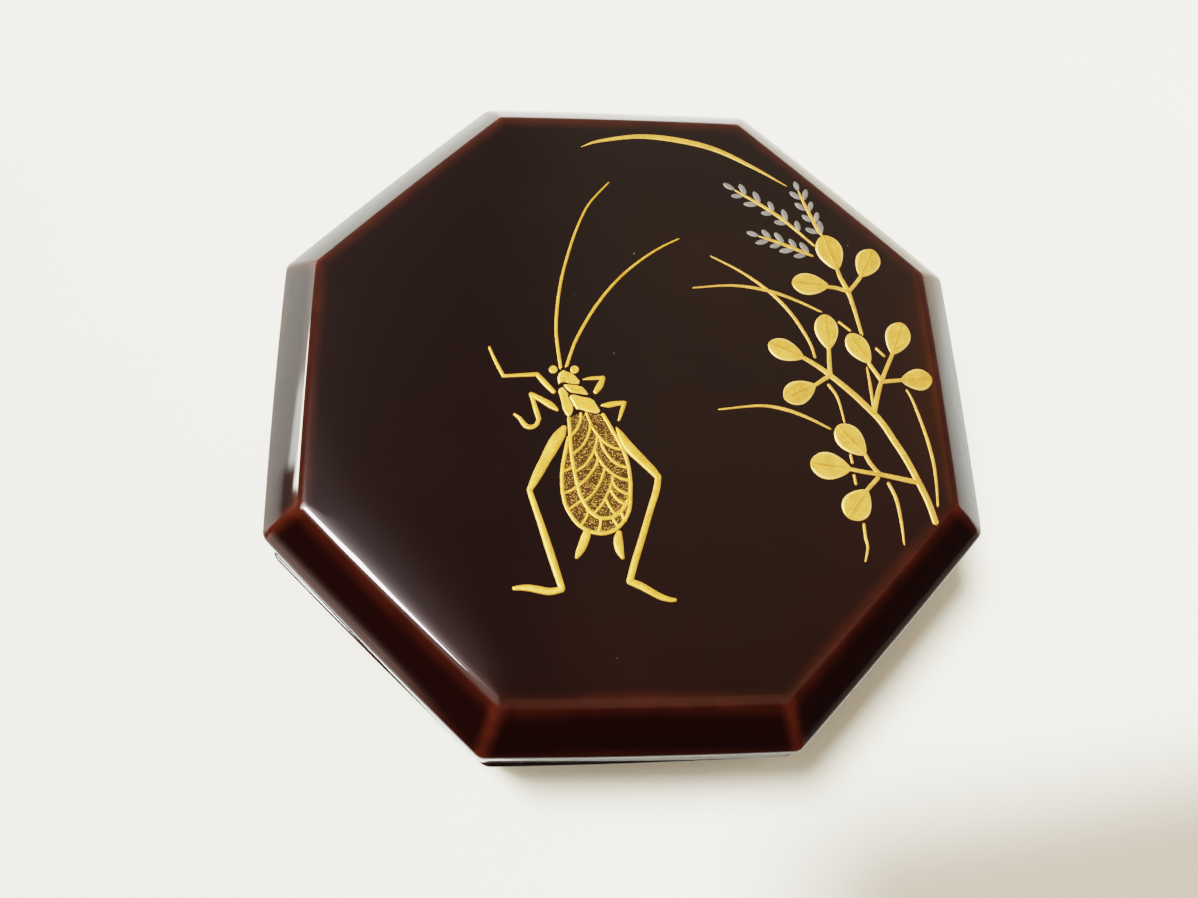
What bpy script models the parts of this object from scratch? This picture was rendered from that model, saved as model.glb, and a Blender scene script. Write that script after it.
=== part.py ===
"""Octagonal lacquered incense box: a body with an inner upstand, and a lid that lifts off it.

Metres, +Z up. The origin is on the ground under the middle of the box. The flats of the lid face
+X, -X, +Y and -Y. A profile is drawn from the axis outwards, over the outside, and back to the axis
over the inside. Its first number is the distance from the axis to a flat.
"""

import math

import bmesh
import bpy

MM = 0.001

# Driving dimensions
SIDES = 8
ACROSS_FLATS = 74.0 * MM
TOP_CHAMFER = 4.3 * MM
CROWN_RISE = 0.4 * MM
LID_WALL_HEIGHT = 5.4 * MM
LID_WALL_THICKNESS = 2.4 * MM
LID_TOP_THICKNESS = 2.8 * MM
SHOULDER_PROUD = 0.15 * MM
BODY_WALL_HEIGHT = 5.6 * MM
BODY_WALL_LEAN = 0.6 * MM
BASE_CHAMFER = 4.0 * MM
FLOOR_THICKNESS = 2.8 * MM
UPSTAND_THICKNESS = 1.3 * MM
UPSTAND_HEIGHT = 2.8 * MM
EDGE_SOFTENING = 0.4 * MM
EDGE_SEGMENTS = 3
SOFTENED_FROM_ANGLE = math.radians(25.0)

# Clearances: the lid hangs a hair over the shoulder, and has play round the upstand. The body stands
# turned under the lid by the share of that play that its flats' ends have moved.
SEAM_GAP = 0.3 * MM
UPSTAND_CLEARANCE = 0.5 * MM
TURN_SHARE_OF_PLAY = 0.37

MERGE_DISTANCE = 0.01 * MM
COLLECTION_NAME = "incense_box"
LACQUER_OUTSIDE = (0.022, 0.008, 0.007, 1.0)
LACQUER_ROUGHNESS = 0.12

# Sizes that follow from the driving dimensions
LID_FLAT = ACROSS_FLATS / 2
SHOULDER_FLAT = LID_FLAT + SHOULDER_PROUD
SHOULDER_Z = BASE_CHAMFER + BODY_WALL_HEIGHT
LID_REST_Z = SHOULDER_Z + SEAM_GAP
LID_INNER_FLAT = LID_FLAT - LID_WALL_THICKNESS
UPSTAND_FLAT = LID_INNER_FLAT - UPSTAND_CLEARANCE
BODY_INNER_FLAT = UPSTAND_FLAT - UPSTAND_THICKNESS
HALF_SIDE_OF_LID = LID_FLAT * math.tan(math.pi / SIDES)
BODY_TURN = TURN_SHARE_OF_PLAY * UPSTAND_CLEARANCE / HALF_SIDE_OF_LID
SOFTEST_EDGE = min(EDGE_SOFTENING, UPSTAND_THICKNESS / 3, LID_WALL_THICKNESS / 3)


def empty_scene():
    """Remove every object of the scene."""
    for thing in list(bpy.data.objects):
        bpy.data.objects.remove(thing, do_unlink=True)


def lacquer(name):
    """Make a dark red-brown lacquer material."""
    material = bpy.data.materials.new(name)
    material.use_nodes = True
    shader = material.node_tree.nodes["Principled BSDF"]
    shader.inputs["Base Color"].default_value = LACQUER_OUTSIDE
    shader.inputs["Roughness"].default_value = LACQUER_ROUGHNESS
    shader.inputs["Metallic"].default_value = 0.0
    material.diffuse_color = LACQUER_OUTSIDE
    return material


def profile_mesh(name, profile):
    """Make a chain of edges from a list of (distance to a flat, height) pairs."""
    to_corner = 1 / math.cos(math.pi / SIDES)
    shape = bmesh.new()
    points = [shape.verts.new((flat * to_corner, 0.0, height)) for flat, height in profile]
    for start, end in zip(points, points[1:]):
        shape.edges.new((start, end))
    mesh = bpy.data.meshes.new(name)
    shape.to_mesh(mesh)
    shape.free()
    return mesh


def turned_octagon(name, profile, collection):
    """Turn a profile round the axis in straight sides, and soften every edge of the result."""
    thing = bpy.data.objects.new(name, profile_mesh(name, profile))
    collection.objects.link(thing)

    turn = thing.modifiers.new("Straight sides", "SCREW")
    turn.axis = "Z"
    turn.angle = 2 * math.pi
    turn.steps = SIDES
    turn.render_steps = SIDES
    turn.use_merge_vertices = True
    turn.merge_threshold = MERGE_DISTANCE
    turn.use_smooth_shade = False

    soften = thing.modifiers.new("Soft edges", "BEVEL")
    soften.width = SOFTEST_EDGE
    soften.segments = EDGE_SEGMENTS
    soften.limit_method = "ANGLE"
    soften.angle_limit = SOFTENED_FROM_ANGLE
    thing.data.materials.append(lacquer(name + "_lacquer"))
    return thing


def body_profile():
    """Outline of the body: underside, chamfered foot, leaning wall, shoulder, upstand and floor."""
    wall_foot = SHOULDER_FLAT - BODY_WALL_LEAN
    upstand_z = SHOULDER_Z + UPSTAND_HEIGHT
    return [
        (0.0, FLOOR_THICKNESS),
        (BODY_INNER_FLAT, FLOOR_THICKNESS),
        (BODY_INNER_FLAT, upstand_z),
        (UPSTAND_FLAT, upstand_z),
        (UPSTAND_FLAT, SHOULDER_Z),
        (SHOULDER_FLAT, SHOULDER_Z),
        (wall_foot, BASE_CHAMFER),
        (wall_foot - BASE_CHAMFER, 0.0),
        (0.0, 0.0),
    ]


def lid_profile():
    """Outline of the lid above its own lower edge: crowned top, chamfer, wall, and the hollow below."""
    rim_z = LID_WALL_HEIGHT
    top_z = rim_z + TOP_CHAMFER
    ceiling_z = top_z - LID_TOP_THICKNESS
    inner_slope_sum = LID_FLAT + rim_z - LID_WALL_THICKNESS * math.sqrt(2)
    return [
        (0.0, top_z + CROWN_RISE),
        (LID_FLAT - TOP_CHAMFER, top_z),
        (LID_FLAT, rim_z),
        (LID_FLAT, 0.0),
        (LID_INNER_FLAT, 0.0),
        (LID_INNER_FLAT, inner_slope_sum - LID_INNER_FLAT),
        (inner_slope_sum - ceiling_z, ceiling_z),
        (0.0, ceiling_z),
    ]


def build():
    """Build the body and the lid where it rests."""
    empty_scene()
    collection = bpy.data.collections.new(COLLECTION_NAME)
    bpy.context.scene.collection.children.link(collection)
    flat_to_x = math.pi / SIDES

    body = turned_octagon("box_body", body_profile(), collection)
    body.rotation_euler.z = flat_to_x + BODY_TURN

    lid = turned_octagon("lid", lid_profile(), collection)
    lid.rotation_euler.z = flat_to_x
    lid.location.z = LID_REST_Z


build()
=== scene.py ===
"""Octagonal lacquered incense box with a cricket, bush clover and grasses in gold and silver on its lid.

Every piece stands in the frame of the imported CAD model: metres, +Z up, with the origin on the ground under
the middle of the box. Sizes are written in millimetres here and become metres where a mesh is made.
"""

import logging
import math
from collections.abc import Mapping, Sequence
from dataclasses import dataclass
from enum import Enum
from typing import TypeAlias

import bmesh
import bpy
from mathutils import Matrix, Vector


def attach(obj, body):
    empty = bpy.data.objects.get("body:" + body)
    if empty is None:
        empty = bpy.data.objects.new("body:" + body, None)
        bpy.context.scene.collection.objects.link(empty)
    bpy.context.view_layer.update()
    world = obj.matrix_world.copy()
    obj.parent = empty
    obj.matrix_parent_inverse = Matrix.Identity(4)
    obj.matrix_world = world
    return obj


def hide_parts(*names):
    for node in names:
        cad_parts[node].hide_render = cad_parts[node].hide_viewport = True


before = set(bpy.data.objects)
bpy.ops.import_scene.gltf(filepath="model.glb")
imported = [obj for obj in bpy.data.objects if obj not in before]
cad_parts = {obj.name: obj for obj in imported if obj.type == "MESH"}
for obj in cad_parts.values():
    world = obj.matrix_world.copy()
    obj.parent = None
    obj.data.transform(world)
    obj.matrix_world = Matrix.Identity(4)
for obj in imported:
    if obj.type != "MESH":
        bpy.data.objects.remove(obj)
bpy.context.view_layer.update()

MM = 0.001
ONLY_BODY = "root"
Point = tuple[float, float]
Colour = tuple[float, float, float]
Value: TypeAlias = "Wire | float"
log = logging.getLogger("incense_box")


# Nodes written as Python expressions


@dataclass(frozen=True, eq=False)
class Wire:
    """A node's output. Python's own arithmetic on it adds Math nodes to its tree."""

    bench: "Bench"
    socket: bpy.types.NodeSocket

    def math(self, operation: str, *others: Value) -> "Wire":
        """Add a Math node that takes this value first."""
        return self.bench.math(operation, self, *others)

    def __add__(self, other: Value) -> "Wire":
        """Add a value."""
        return self.math("ADD", other)

    __radd__ = __add__

    def __sub__(self, other: Value) -> "Wire":
        """Take a value away."""
        return self.math("SUBTRACT", other)

    def __rsub__(self, other: Value) -> "Wire":
        """Take this value away from another."""
        return self.bench.math("SUBTRACT", other, self)

    def __mul__(self, other: Value) -> "Wire":
        """Multiply by a value."""
        return self.math("MULTIPLY", other)

    __rmul__ = __mul__

    def __truediv__(self, other: Value) -> "Wire":
        """Divide by a value."""
        return self.math("DIVIDE", other)

    def __rtruediv__(self, other: Value) -> "Wire":
        """Divide another value by this one."""
        return self.bench.math("DIVIDE", other, self)

    def __pow__(self, other: Value) -> "Wire":
        """Raise to a power."""
        return self.math("POWER", other)

    def __gt__(self, other: Value) -> "Wire":
        """Give 1 where this value is the greater one, and 0 elsewhere."""
        return self.math("GREATER_THAN", other)

    def __neg__(self) -> "Wire":
        """Turn the sign."""
        return self * -1.0

    def __abs__(self) -> "Wire":
        """Drop the sign."""
        return self.math("ABSOLUTE")

    def floor(self) -> "Wire":
        """Round down."""
        return self.math("FLOOR")

    def sine(self) -> "Wire":
        """Sine of this angle."""
        return self.math("SINE")

    def cosine(self) -> "Wire":
        """Cosine of this angle."""
        return self.math("COSINE")

    def at_least(self, other: Value) -> "Wire":
        """The greater of two values."""
        return self.math("MAXIMUM", other)

    def at_most(self, other: Value) -> "Wire":
        """The smaller of two values."""
        return self.math("MINIMUM", other)

    def held(self) -> "Wire":
        """This value kept between 0 and 1."""
        return self.at_least(0.0).at_most(1.0)

    def rising(self, low: float, high: float) -> "Wire":
        """Go softly from 0 at the low value to 1 at the high value."""
        kind = "ShaderNodeMapRange"
        return self.bench.make(kind, interpolation_type="SMOOTHSTEP", Value=self, From_Min=low, From_Max=high)

    def falling(self, low: float, high: float) -> "Wire":
        """Go softly from 1 at the low value to 0 at the high value."""
        return 1.0 - self.rising(low, high)


@dataclass(frozen=True)
class Bench:
    """Adds nodes to one tree, for a material or for a shape."""

    tree: bpy.types.NodeTree

    def node(self, kind: str, *values: object, **named: object) -> bpy.types.Node:
        """Add a node of any kind.

        Args:
            kind: The node's type name.
            *values: Values or wires for its first sockets in use.
            **named: In lower case, its settings, which are set first, with a ramp's stops as "stops". With a
                capital, values or wires for the sockets of these names, where _ may stand for a space.

        Returns:
            The new node.
        """
        made = self.tree.nodes.new(kind)
        settings = {name: value for name, value in named.items() if name.islower()}
        for name, value in settings.items():
            if name == "stops":
                self._set_stops(made.color_ramp, value)
            else:
                setattr(made, name, value)
        sockets = {name.replace("_", " "): value for name, value in named.items() if name not in settings}
        for key, value in {**dict(enumerate(values)), **sockets}.items():
            socket = self._socket(made.inputs, key)
            if isinstance(value, Wire):
                self.tree.links.new(value.socket, socket)
            else:
                socket.default_value = value
        return made

    def make(self, kind: str, *values: object, output: str | int = 0, **named: object) -> Wire:
        """Add a node as the method node does, and take the output of this name or number."""
        return self.out(self.node(kind, *values, **named), output)

    def out(self, node: bpy.types.Node, output: str | int = 0) -> Wire:
        """Take an output of a node, by its name or number."""
        return Wire(self, self._socket(node.outputs, output))

    def math(self, operation: str, *values: Value) -> Wire:
        """Add a Math node with one, two or three inputs."""
        return self.make("ShaderNodeMath", *values, operation=operation)

    def vector(self, x: Value, y: Value, z: Value) -> Wire:
        """Join three values into a vector."""
        return self.make("ShaderNodeCombineXYZ", x, y, z)

    def parts(self, vector: Wire) -> tuple[Wire, Wire, Wire]:
        """Split a vector into its x, y and z."""
        split = self.node("ShaderNodeSeparateXYZ", vector)
        return self.out(split, 0), self.out(split, 1), self.out(split, 2)

    def vector_sum(self, first: Wire, second: object) -> Wire:
        """Add two vectors."""
        return self.make("ShaderNodeVectorMath", first, second, operation="ADD")

    def scaled(self, vector: Wire, factor: Value) -> Wire:
        """Multiply a vector by a number."""
        return self.make("ShaderNodeVectorMath", operation="SCALE", Vector=vector, Scale=factor)

    def _socket(self, sockets: Sequence[bpy.types.NodeSocket], key: str | int) -> bpy.types.NodeSocket:
        """Find a socket by name or number among those in use."""
        used = [socket for socket in sockets if socket.enabled]
        return used[key] if isinstance(key, int) else next(socket for socket in used if socket.name == key)

    def _set_stops(self, ramp: bpy.types.ColorRamp, stops: Sequence[tuple[float, Colour]]) -> None:
        """Give a colour ramp its stops.

        Args:
            ramp: The ramp.
            stops: Places from 0 to 1 with their colours.
        """
        while len(ramp.elements) < len(stops):
            ramp.elements.new(1.0)
        for element, (place, colour) in zip(ramp.elements, stops):
            element.position = place
            element.color = _solid(colour)


def _solid(colour: Wire | Colour) -> object:
    """Give a plain colour its fourth number, and leave a wire alone."""
    return colour if isinstance(colour, Wire) else (*colour, 1.0)


# Finishes. Lengths are millimetres, and shares and strengths run from 0 to 1.


@dataclass(frozen=True)
class PaintBench(Bench):
    """Adds the nodes of a material."""

    def place(self) -> Wire:
        """Where a point lies on the object, in millimetres."""
        return self.scaled(self.make("ShaderNodeTexCoord", output="Object"), 1 / MM)

    def noise(self, size: float, detail: float = 2.0, roughness: float = 0.5, shift: float = 0.0) -> Wire:
        """Make soft random variation, mostly from 0.3 to 0.7.

        Args:
            size: Width of its features.
            detail: How many finer layers it has.
            roughness: How strong the finer layers are.
            shift: Moves the pattern, so that two of them differ.

        Returns:
            The value.
        """
        place = self.vector_sum(self.place(), (shift, shift, shift))
        kind = "ShaderNodeTexNoise"
        return self.make(kind, Vector=place, Scale=1 / size, Detail=detail, Roughness=roughness)

    def cells(self, size: float, output: str, shift: float = 0.0) -> Wire:
        """Split space into random cells.

        Args:
            size: Width of a cell.
            output: Distance from the cell's middle, or its own random Color.
            shift: Moves the pattern.

        Returns:
            The chosen output.
        """
        place = self.vector_sum(self.place(), (shift, shift, shift))
        return self.make("ShaderNodeTexVoronoi", Vector=place, Scale=1 / size, output=output)

    def mix(self, factor: Value, low: Wire | Colour, high: Wire | Colour) -> Wire:
        """Mix two colours."""
        return self.make("ShaderNodeMix", data_type="RGBA", Factor=factor, A=_solid(low), B=_solid(high))

    def attribute(self, name: str) -> Wire:
        """Read a number that the piece's mesh carries."""
        return self.make("ShaderNodeAttribute", attribute_name=name, output="Fac")

    def bump(self, height: Wire, depth: float) -> Wire:
        """Turn a height from 0 to 1, of a given depth, into a normal."""
        return self.make("ShaderNodeBump", Strength=1.0, Distance=depth * MM, Height=height)


@dataclass(frozen=True)
class Finish:
    """A finish that makes its own material."""

    def material(self, name: str) -> bpy.types.Material:
        """Make the material under a name.

        Args:
            name: The name.

        Returns:
            The material.
        """
        made = bpy.data.materials.new(name)
        made.use_nodes = True
        made.node_tree.nodes.clear()
        bench = PaintBench(made.node_tree)
        shader = bench.make("ShaderNodeBsdfPrincipled", IOR=1.5, **self.surface(bench))
        bench.node("ShaderNodeOutputMaterial", Surface=shader)
        return made

    def surface(self, bench: PaintBench) -> dict[str, object]:
        """Say what the shader's sockets get.

        Args:
            bench: What adds the nodes.

        Returns:
            Values and wires by the sockets' names.
        """
        raise NotImplementedError


@dataclass(frozen=True)
class ThinEdge:
    """A ring round the box where lacquer has run thin over an edge.

    Args:
        place: Where the edge is: a distance from the axis, or a height.
        before: How far the red reaches towards the axis, or downwards.
        beyond: How far it reaches away from the axis, or upwards.
        strength: How red it is.
    """

    place: float
    before: float
    beyond: float
    strength: float

    def glow(self, measure: Wire) -> Wire:
        """The red of this edge, from 0 to its strength."""
        near = measure.rising(self.place - self.before, self.place)
        return near * measure.falling(self.place, self.place + self.beyond) * self.strength


@dataclass(frozen=True)
class Lacquer(Finish):
    """Polished translucent lacquer: nearly black where it is thick, red-brown where it is thin."""

    flat_edges: tuple[ThinEdge, ...]
    level_edges: tuple[ThinEdge, ...]
    ridges_from: float
    ridges_to: float
    ridge_width: float = 1.3
    ridge_strength: float = 0.75
    wander: float = 0.9
    slope_share: float = 0.8
    deep: Colour = (0.0055, 0.0022, 0.0019)
    warm: Colour = (0.0095, 0.0028, 0.0019)
    slope: Colour = (0.0078, 0.0011, 0.0008)
    thin: Colour = (0.038, 0.0095, 0.0044)
    inside: Colour = (0.0110, 0.0045, 0.0040)
    dust: Colour = (0.16, 0.14, 0.13)
    gloss: float = 0.27
    inside_gloss: float = 0.42
    smear: float = 0.12
    dust_gloss: float = 0.2
    shine: float = 0.015
    coat: float = 0.9
    inside_coat: float = 0.25
    coat_gloss: float = 0.04
    ripple: float = 0.05
    unevenness: float = 0.006
    dust_spacing: float = 3.4
    clean_share: float = 0.72

    def surface(self, bench: PaintBench) -> dict[str, object]:
        """Say what the shader's sockets get.

        Args:
            bench: What adds the nodes.

        Returns:
            Values and wires by the sockets' names.
        """
        x, y, z = bench.parts(bench.place())
        straight = abs(x).at_least(abs(y))
        slanted = (abs(x) + abs(y)) * math.sqrt(0.5)
        flat = straight.at_least(slanted)
        ridge = abs(straight - slanted) / (2 * math.sin(math.pi / 8))
        inner = bench.attribute("inner")

        mottle = bench.noise(2.6, detail=3.0)
        drift = bench.noise(17.0, detail=1.0, shift=5.0)
        wander = (drift - 0.5) * self.wander
        glow = sum((edge.glow(flat + wander) for edge in self.flat_edges), 0.0)
        glow = sum((edge.glow(z) for edge in self.level_edges), glow)
        on_slopes = flat.rising(self.ridges_from, self.ridges_to)
        glow = glow + ridge.falling(0.0, self.ridge_width) * on_slopes * self.ridge_strength
        glow = (glow * (0.35 + mottle * 1.3)).held() * (1.0 - inner)

        lean = (drift * 0.9 + (x - y) / 90.0 + mottle * 0.35 - 0.35).held()
        speck = self._dust(bench)
        body = bench.mix(lean, self.deep, self.warm)
        body = bench.mix(on_slopes * self.slope_share, body, self.slope)
        body = bench.mix(glow, body, self.thin)
        body = bench.mix(inner, body, self.inside)
        body = bench.mix(speck * 0.5, body, self.dust)

        smear = (bench.noise(6.0, detail=4.0, roughness=0.6, shift=2.0) - 0.5) * self.smear
        duller = inner * (self.inside_gloss - self.gloss) + speck * self.dust_gloss
        fine_waves = bench.noise(1.1, detail=1.0, shift=3.0) * self.ripple
        waves = bench.noise(7.0, detail=1.5, shift=9.0) + fine_waves
        return {
            "Base Color": body,
            "Roughness": self.gloss + smear + duller,
            "Specular IOR Level": self.shine,
            "Coat Weight": self.coat - inner * (self.coat - self.inside_coat),
            "Coat Roughness": self.coat_gloss,
            "Coat IOR": 1.5,
            "Normal": bench.bump(waves, self.unevenness),
        }

    def _dust(self, bench: PaintBench) -> Wire:
        """A few specks of dust, each under a quarter of a millimetre across.

        Args:
            bench: What adds the nodes.

        Returns:
            Where the dust lies, from 0 to 1.
        """
        chosen, size, _ = bench.parts(bench.cells(self.dust_spacing, "Color", shift=1.7))
        spot = bench.cells(self.dust_spacing, "Distance", shift=1.7).falling(0.015, 0.035)
        return spot * (chosen > self.clean_share) * (0.3 + size * 0.7)


@dataclass(frozen=True)
class Powder(Finish):
    """Metal powder sprinkled over raised lacquer and lightly rubbed, with a painted highlight along its rims.
    """

    dark: Colour
    middle: Colour
    light: Colour
    # rim: colour of the painted highlight along the rims, where raised edges would catch the light
    rim: Colour
    vein: Colour | None = None
    metal: float = 0.55
    metal_spread: float = 0.5
    gloss: float = 0.42
    gloss_spread: float = 0.35
    grain: float = 0.16
    grain_depth: float = 0.02
    grain_contrast: float = 1.7
    cloud_contrast: float = 0.9
    rim_highlight_strength: float = 0.6
    vein_strength: float = 0.65

    def surface(self, bench: PaintBench) -> dict[str, object]:
        """Say what the shader's sockets get.

        Args:
            bench: What adds the nodes.

        Returns:
            Values and wires by the sockets' names.
        """
        fine = bench.noise(self.grain, detail=2.0, roughness=0.65)
        soft = bench.noise(self.grain * 7, detail=3.0, shift=4.0)
        tone = ((fine - 0.5) * self.grain_contrast + (soft - 0.5) * self.cloud_contrast + 0.5).held()
        stops = ((0.0, self.dark), (0.5, self.middle), (1.0, self.light))
        colour = bench.make("ShaderNodeValToRGB", stops=stops, Fac=tone)
        across = abs(bench.attribute("across"))
        # Painted highlight: the rims are mixed towards a lighter colour, as if they caught the light
        colour = bench.mix(across.rising(0.72, 0.95) * self.rim_highlight_strength, colour, self.rim)
        if self.vein:
            colour = bench.mix(across.falling(0.015, 0.075) * self.vein_strength, colour, self.vein)
        return {
            "Base Color": colour,
            "Metallic": (self.metal + (fine - 0.5) * self.metal_spread).held(),
            "Roughness": (self.gloss + (fine - 0.5) * self.gloss_spread).held(),
            "Normal": bench.bump(fine, self.grain_depth),
        }


@dataclass(frozen=True)
class SparsePowder(Finish):
    """Gold flakes scattered thinly on dark lacquer, which shows between them."""

    lacquer: Colour = (0.035, 0.018, 0.0055)
    gold: Colour = (0.65, 0.38, 0.105)
    flake: float = 0.125
    flake_depth: float = 0.02
    faintest: float = 0.45
    metal: float = 0.3
    gloss: float = 0.5
    shine: float = 0.06

    def surface(self, bench: PaintBench) -> dict[str, object]:
        """Say what the shader's sockets get.

        Args:
            bench: What adds the nodes.

        Returns:
            Values and wires by the sockets' names.
        """
        random, tone, _ = bench.parts(bench.cells(self.flake, "Color"))
        core = bench.cells(self.flake, "Distance").falling(0.25, 0.50)
        flake = core * (random + bench.noise(1.4) * 0.6).rising(0.58, 0.78)
        strength = flake * (self.faintest + tone * (1.0 - self.faintest))
        return {
            "Base Color": bench.mix(strength, self.lacquer, self.gold),
            "Metallic": flake * self.metal,
            "Roughness": self.gloss,
            "Specular IOR Level": self.shine,
            "Normal": bench.bump(flake, self.flake_depth),
        }


@dataclass(frozen=True)
class StudioCloth(Finish):
    """A pale floor covering of twill, with painted shading of soft folds, a soft painted shadow over its
    right front corner, and painted tones for what the lacquer mirrors.
    """

    pale: Colour = (0.86, 0.84, 0.71)
    shade: Colour = (0.70, 0.68, 0.575)
    thread_shade: Colour = (0.30, 0.29, 0.26)
    # dim: colour of the painted shadow on the right front corner
    dim: Colour = (0.10, 0.06, 0.035)
    # Colours that glossy rays see of the floor: painted shade and light for the lacquer to mirror
    mirrored: Colour = (0.58, 0.61, 0.58)
    mirrored_lighter_behind: Colour = (0.70, 0.70, 0.66)
    mirrored_far_shade: Colour = (0.30, 0.18, 0.03)
    thread: float = 0.34
    faint_weave: float = 0.05
    clear_weave: float = 0.42
    painted_shadow_strength: float = 0.78
    far_shade_share: float = 0.35
    middle: Point = (-10.0, 45.0)
    whole: float = 80.0
    faded: float = 160.0

    def surface(self, bench: PaintBench) -> dict[str, object]:
        """Say what the shader's sockets get.

        Args:
            bench: What adds the nodes.

        Returns:
            Values and wires by the sockets' names.
        """
        x, y, _ = bench.parts(bench.place())
        rays = bench.node("ShaderNodeLightPath")
        seen, mirror = bench.out(rays, "Is Camera Ray"), bench.out(rays, "Is Glossy Ray")
        aside, beyond = x - self.middle[0], y - self.middle[1]
        far = (aside * aside + beyond * beyond) ** 0.5
        rib = ((x - y) * (math.sqrt(2) * math.pi / self.thread)).sine() * 0.5 + 0.5
        soft = bench.noise(38.0)

        weave = (-x - y * 0.6).rising(20.0, 75.0) * self.clear_weave + self.faint_weave
        corner = (x * 0.13 - y).rising(37.0, 55.0) * x.rising(5.0, 30.0) * far.falling(135.0, 185.0)
        # Painted shade: soft noise mixes the pale colour with a darker one, like the shading of soft folds
        colour = bench.mix(soft * 0.5 + 0.25, self.shade, self.pale)
        colour = bench.mix((1.0 - rib) * weave, colour, self.thread_shade)
        # Painted shadow: the right front corner of the floor is darkened towards dim
        colour = bench.mix(corner * self.painted_shadow_strength, colour, self.dim)

        # Painted reflection: glossy rays see a floor darker than its own colour, with a painted lighter patch
        # behind the box and painted shade in the far right corner
        behind = x.rising(-40.0, -15.0) * x.falling(5.0, 25.0) * y.rising(40.0, 48.0)
        shaded_far_corner = x.rising(20.0, 36.0) * y.rising(22.0, 36.0) * self.far_shade_share
        mirrored = bench.mix(behind, self.mirrored, self.mirrored_lighter_behind)
        mirrored = bench.mix(shaded_far_corner, mirrored, self.mirrored_far_shade)
        return {
            "Base Color": bench.mix(mirror, colour, mirrored),
            "Roughness": 0.9,
            "Alpha": far.falling(self.whole, self.faded).at_least(seen),
            "Normal": bench.bump(rib * 0.3 + soft, 0.04),
        }


# Shapes made by Geometry Nodes


class SizeKind(Enum):
    """What a named input of a shape's tree takes."""

    NUMBER = "NodeSocketFloat"
    COUNT = "NodeSocketInt"
    MATERIAL = "NodeSocketMaterial"
    OBJECT = "NodeSocketObject"


@dataclass(frozen=True)
class Line:
    """A chain of points that a shape starts from.

    Args:
        points: Where the points are, in millimetres. A third number is the height.
        values: Numbers at the points by name: one number for all of them, or one for each.
        closed: Whether the last point joins the first.
    """

    points: Sequence[Sequence[float]]
    values: Mapping[str, float | Sequence[float]]
    closed: bool = False


def start_object(name: str, lines: Sequence[Line]) -> bpy.types.Object:
    """Make an object of bare lines, with the lines' numbers as attributes.

    Args:
        name: The object's name.
        lines: The lines, which all carry the same names of numbers.

    Returns:
        The object, linked to the scene.
    """
    points: list[tuple[float, float, float]] = []
    edges: list[tuple[int, int]] = []
    values: dict[str, list[float]] = {key: [] for key in lines[0].values}
    for line in lines:
        first, count = len(points), len(line.points)
        points += [(p[0] * MM, p[1] * MM, (p[2] if len(p) > 2 else 0.0) * MM) for p in line.points]
        edges += [(first + k, first + k + 1) for k in range(count - 1)]
        if line.closed:
            edges.append((first + count - 1, first))
        for key, value in line.values.items():
            values[key] += list(value) if isinstance(value, Sequence) else [value] * count
    mesh = bpy.data.meshes.new(name)
    mesh.from_pydata(points, edges, [])
    for key, numbers in values.items():
        mesh.attributes.new(key, "FLOAT", "POINT").data.foreach_set("value", numbers)
    made = bpy.data.objects.new(name, mesh)
    bpy.context.scene.collection.objects.link(made)
    return made


def face_outwards(mesh: bpy.types.Mesh) -> None:
    """Turn the faces of a closed mesh to point outwards.

    Args:
        mesh: The mesh.
    """
    shell = bmesh.new()
    shell.from_mesh(mesh)
    bmesh.ops.recalc_face_normals(shell, faces=shell.faces[:])
    shell.to_mesh(mesh)
    shell.free()


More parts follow.
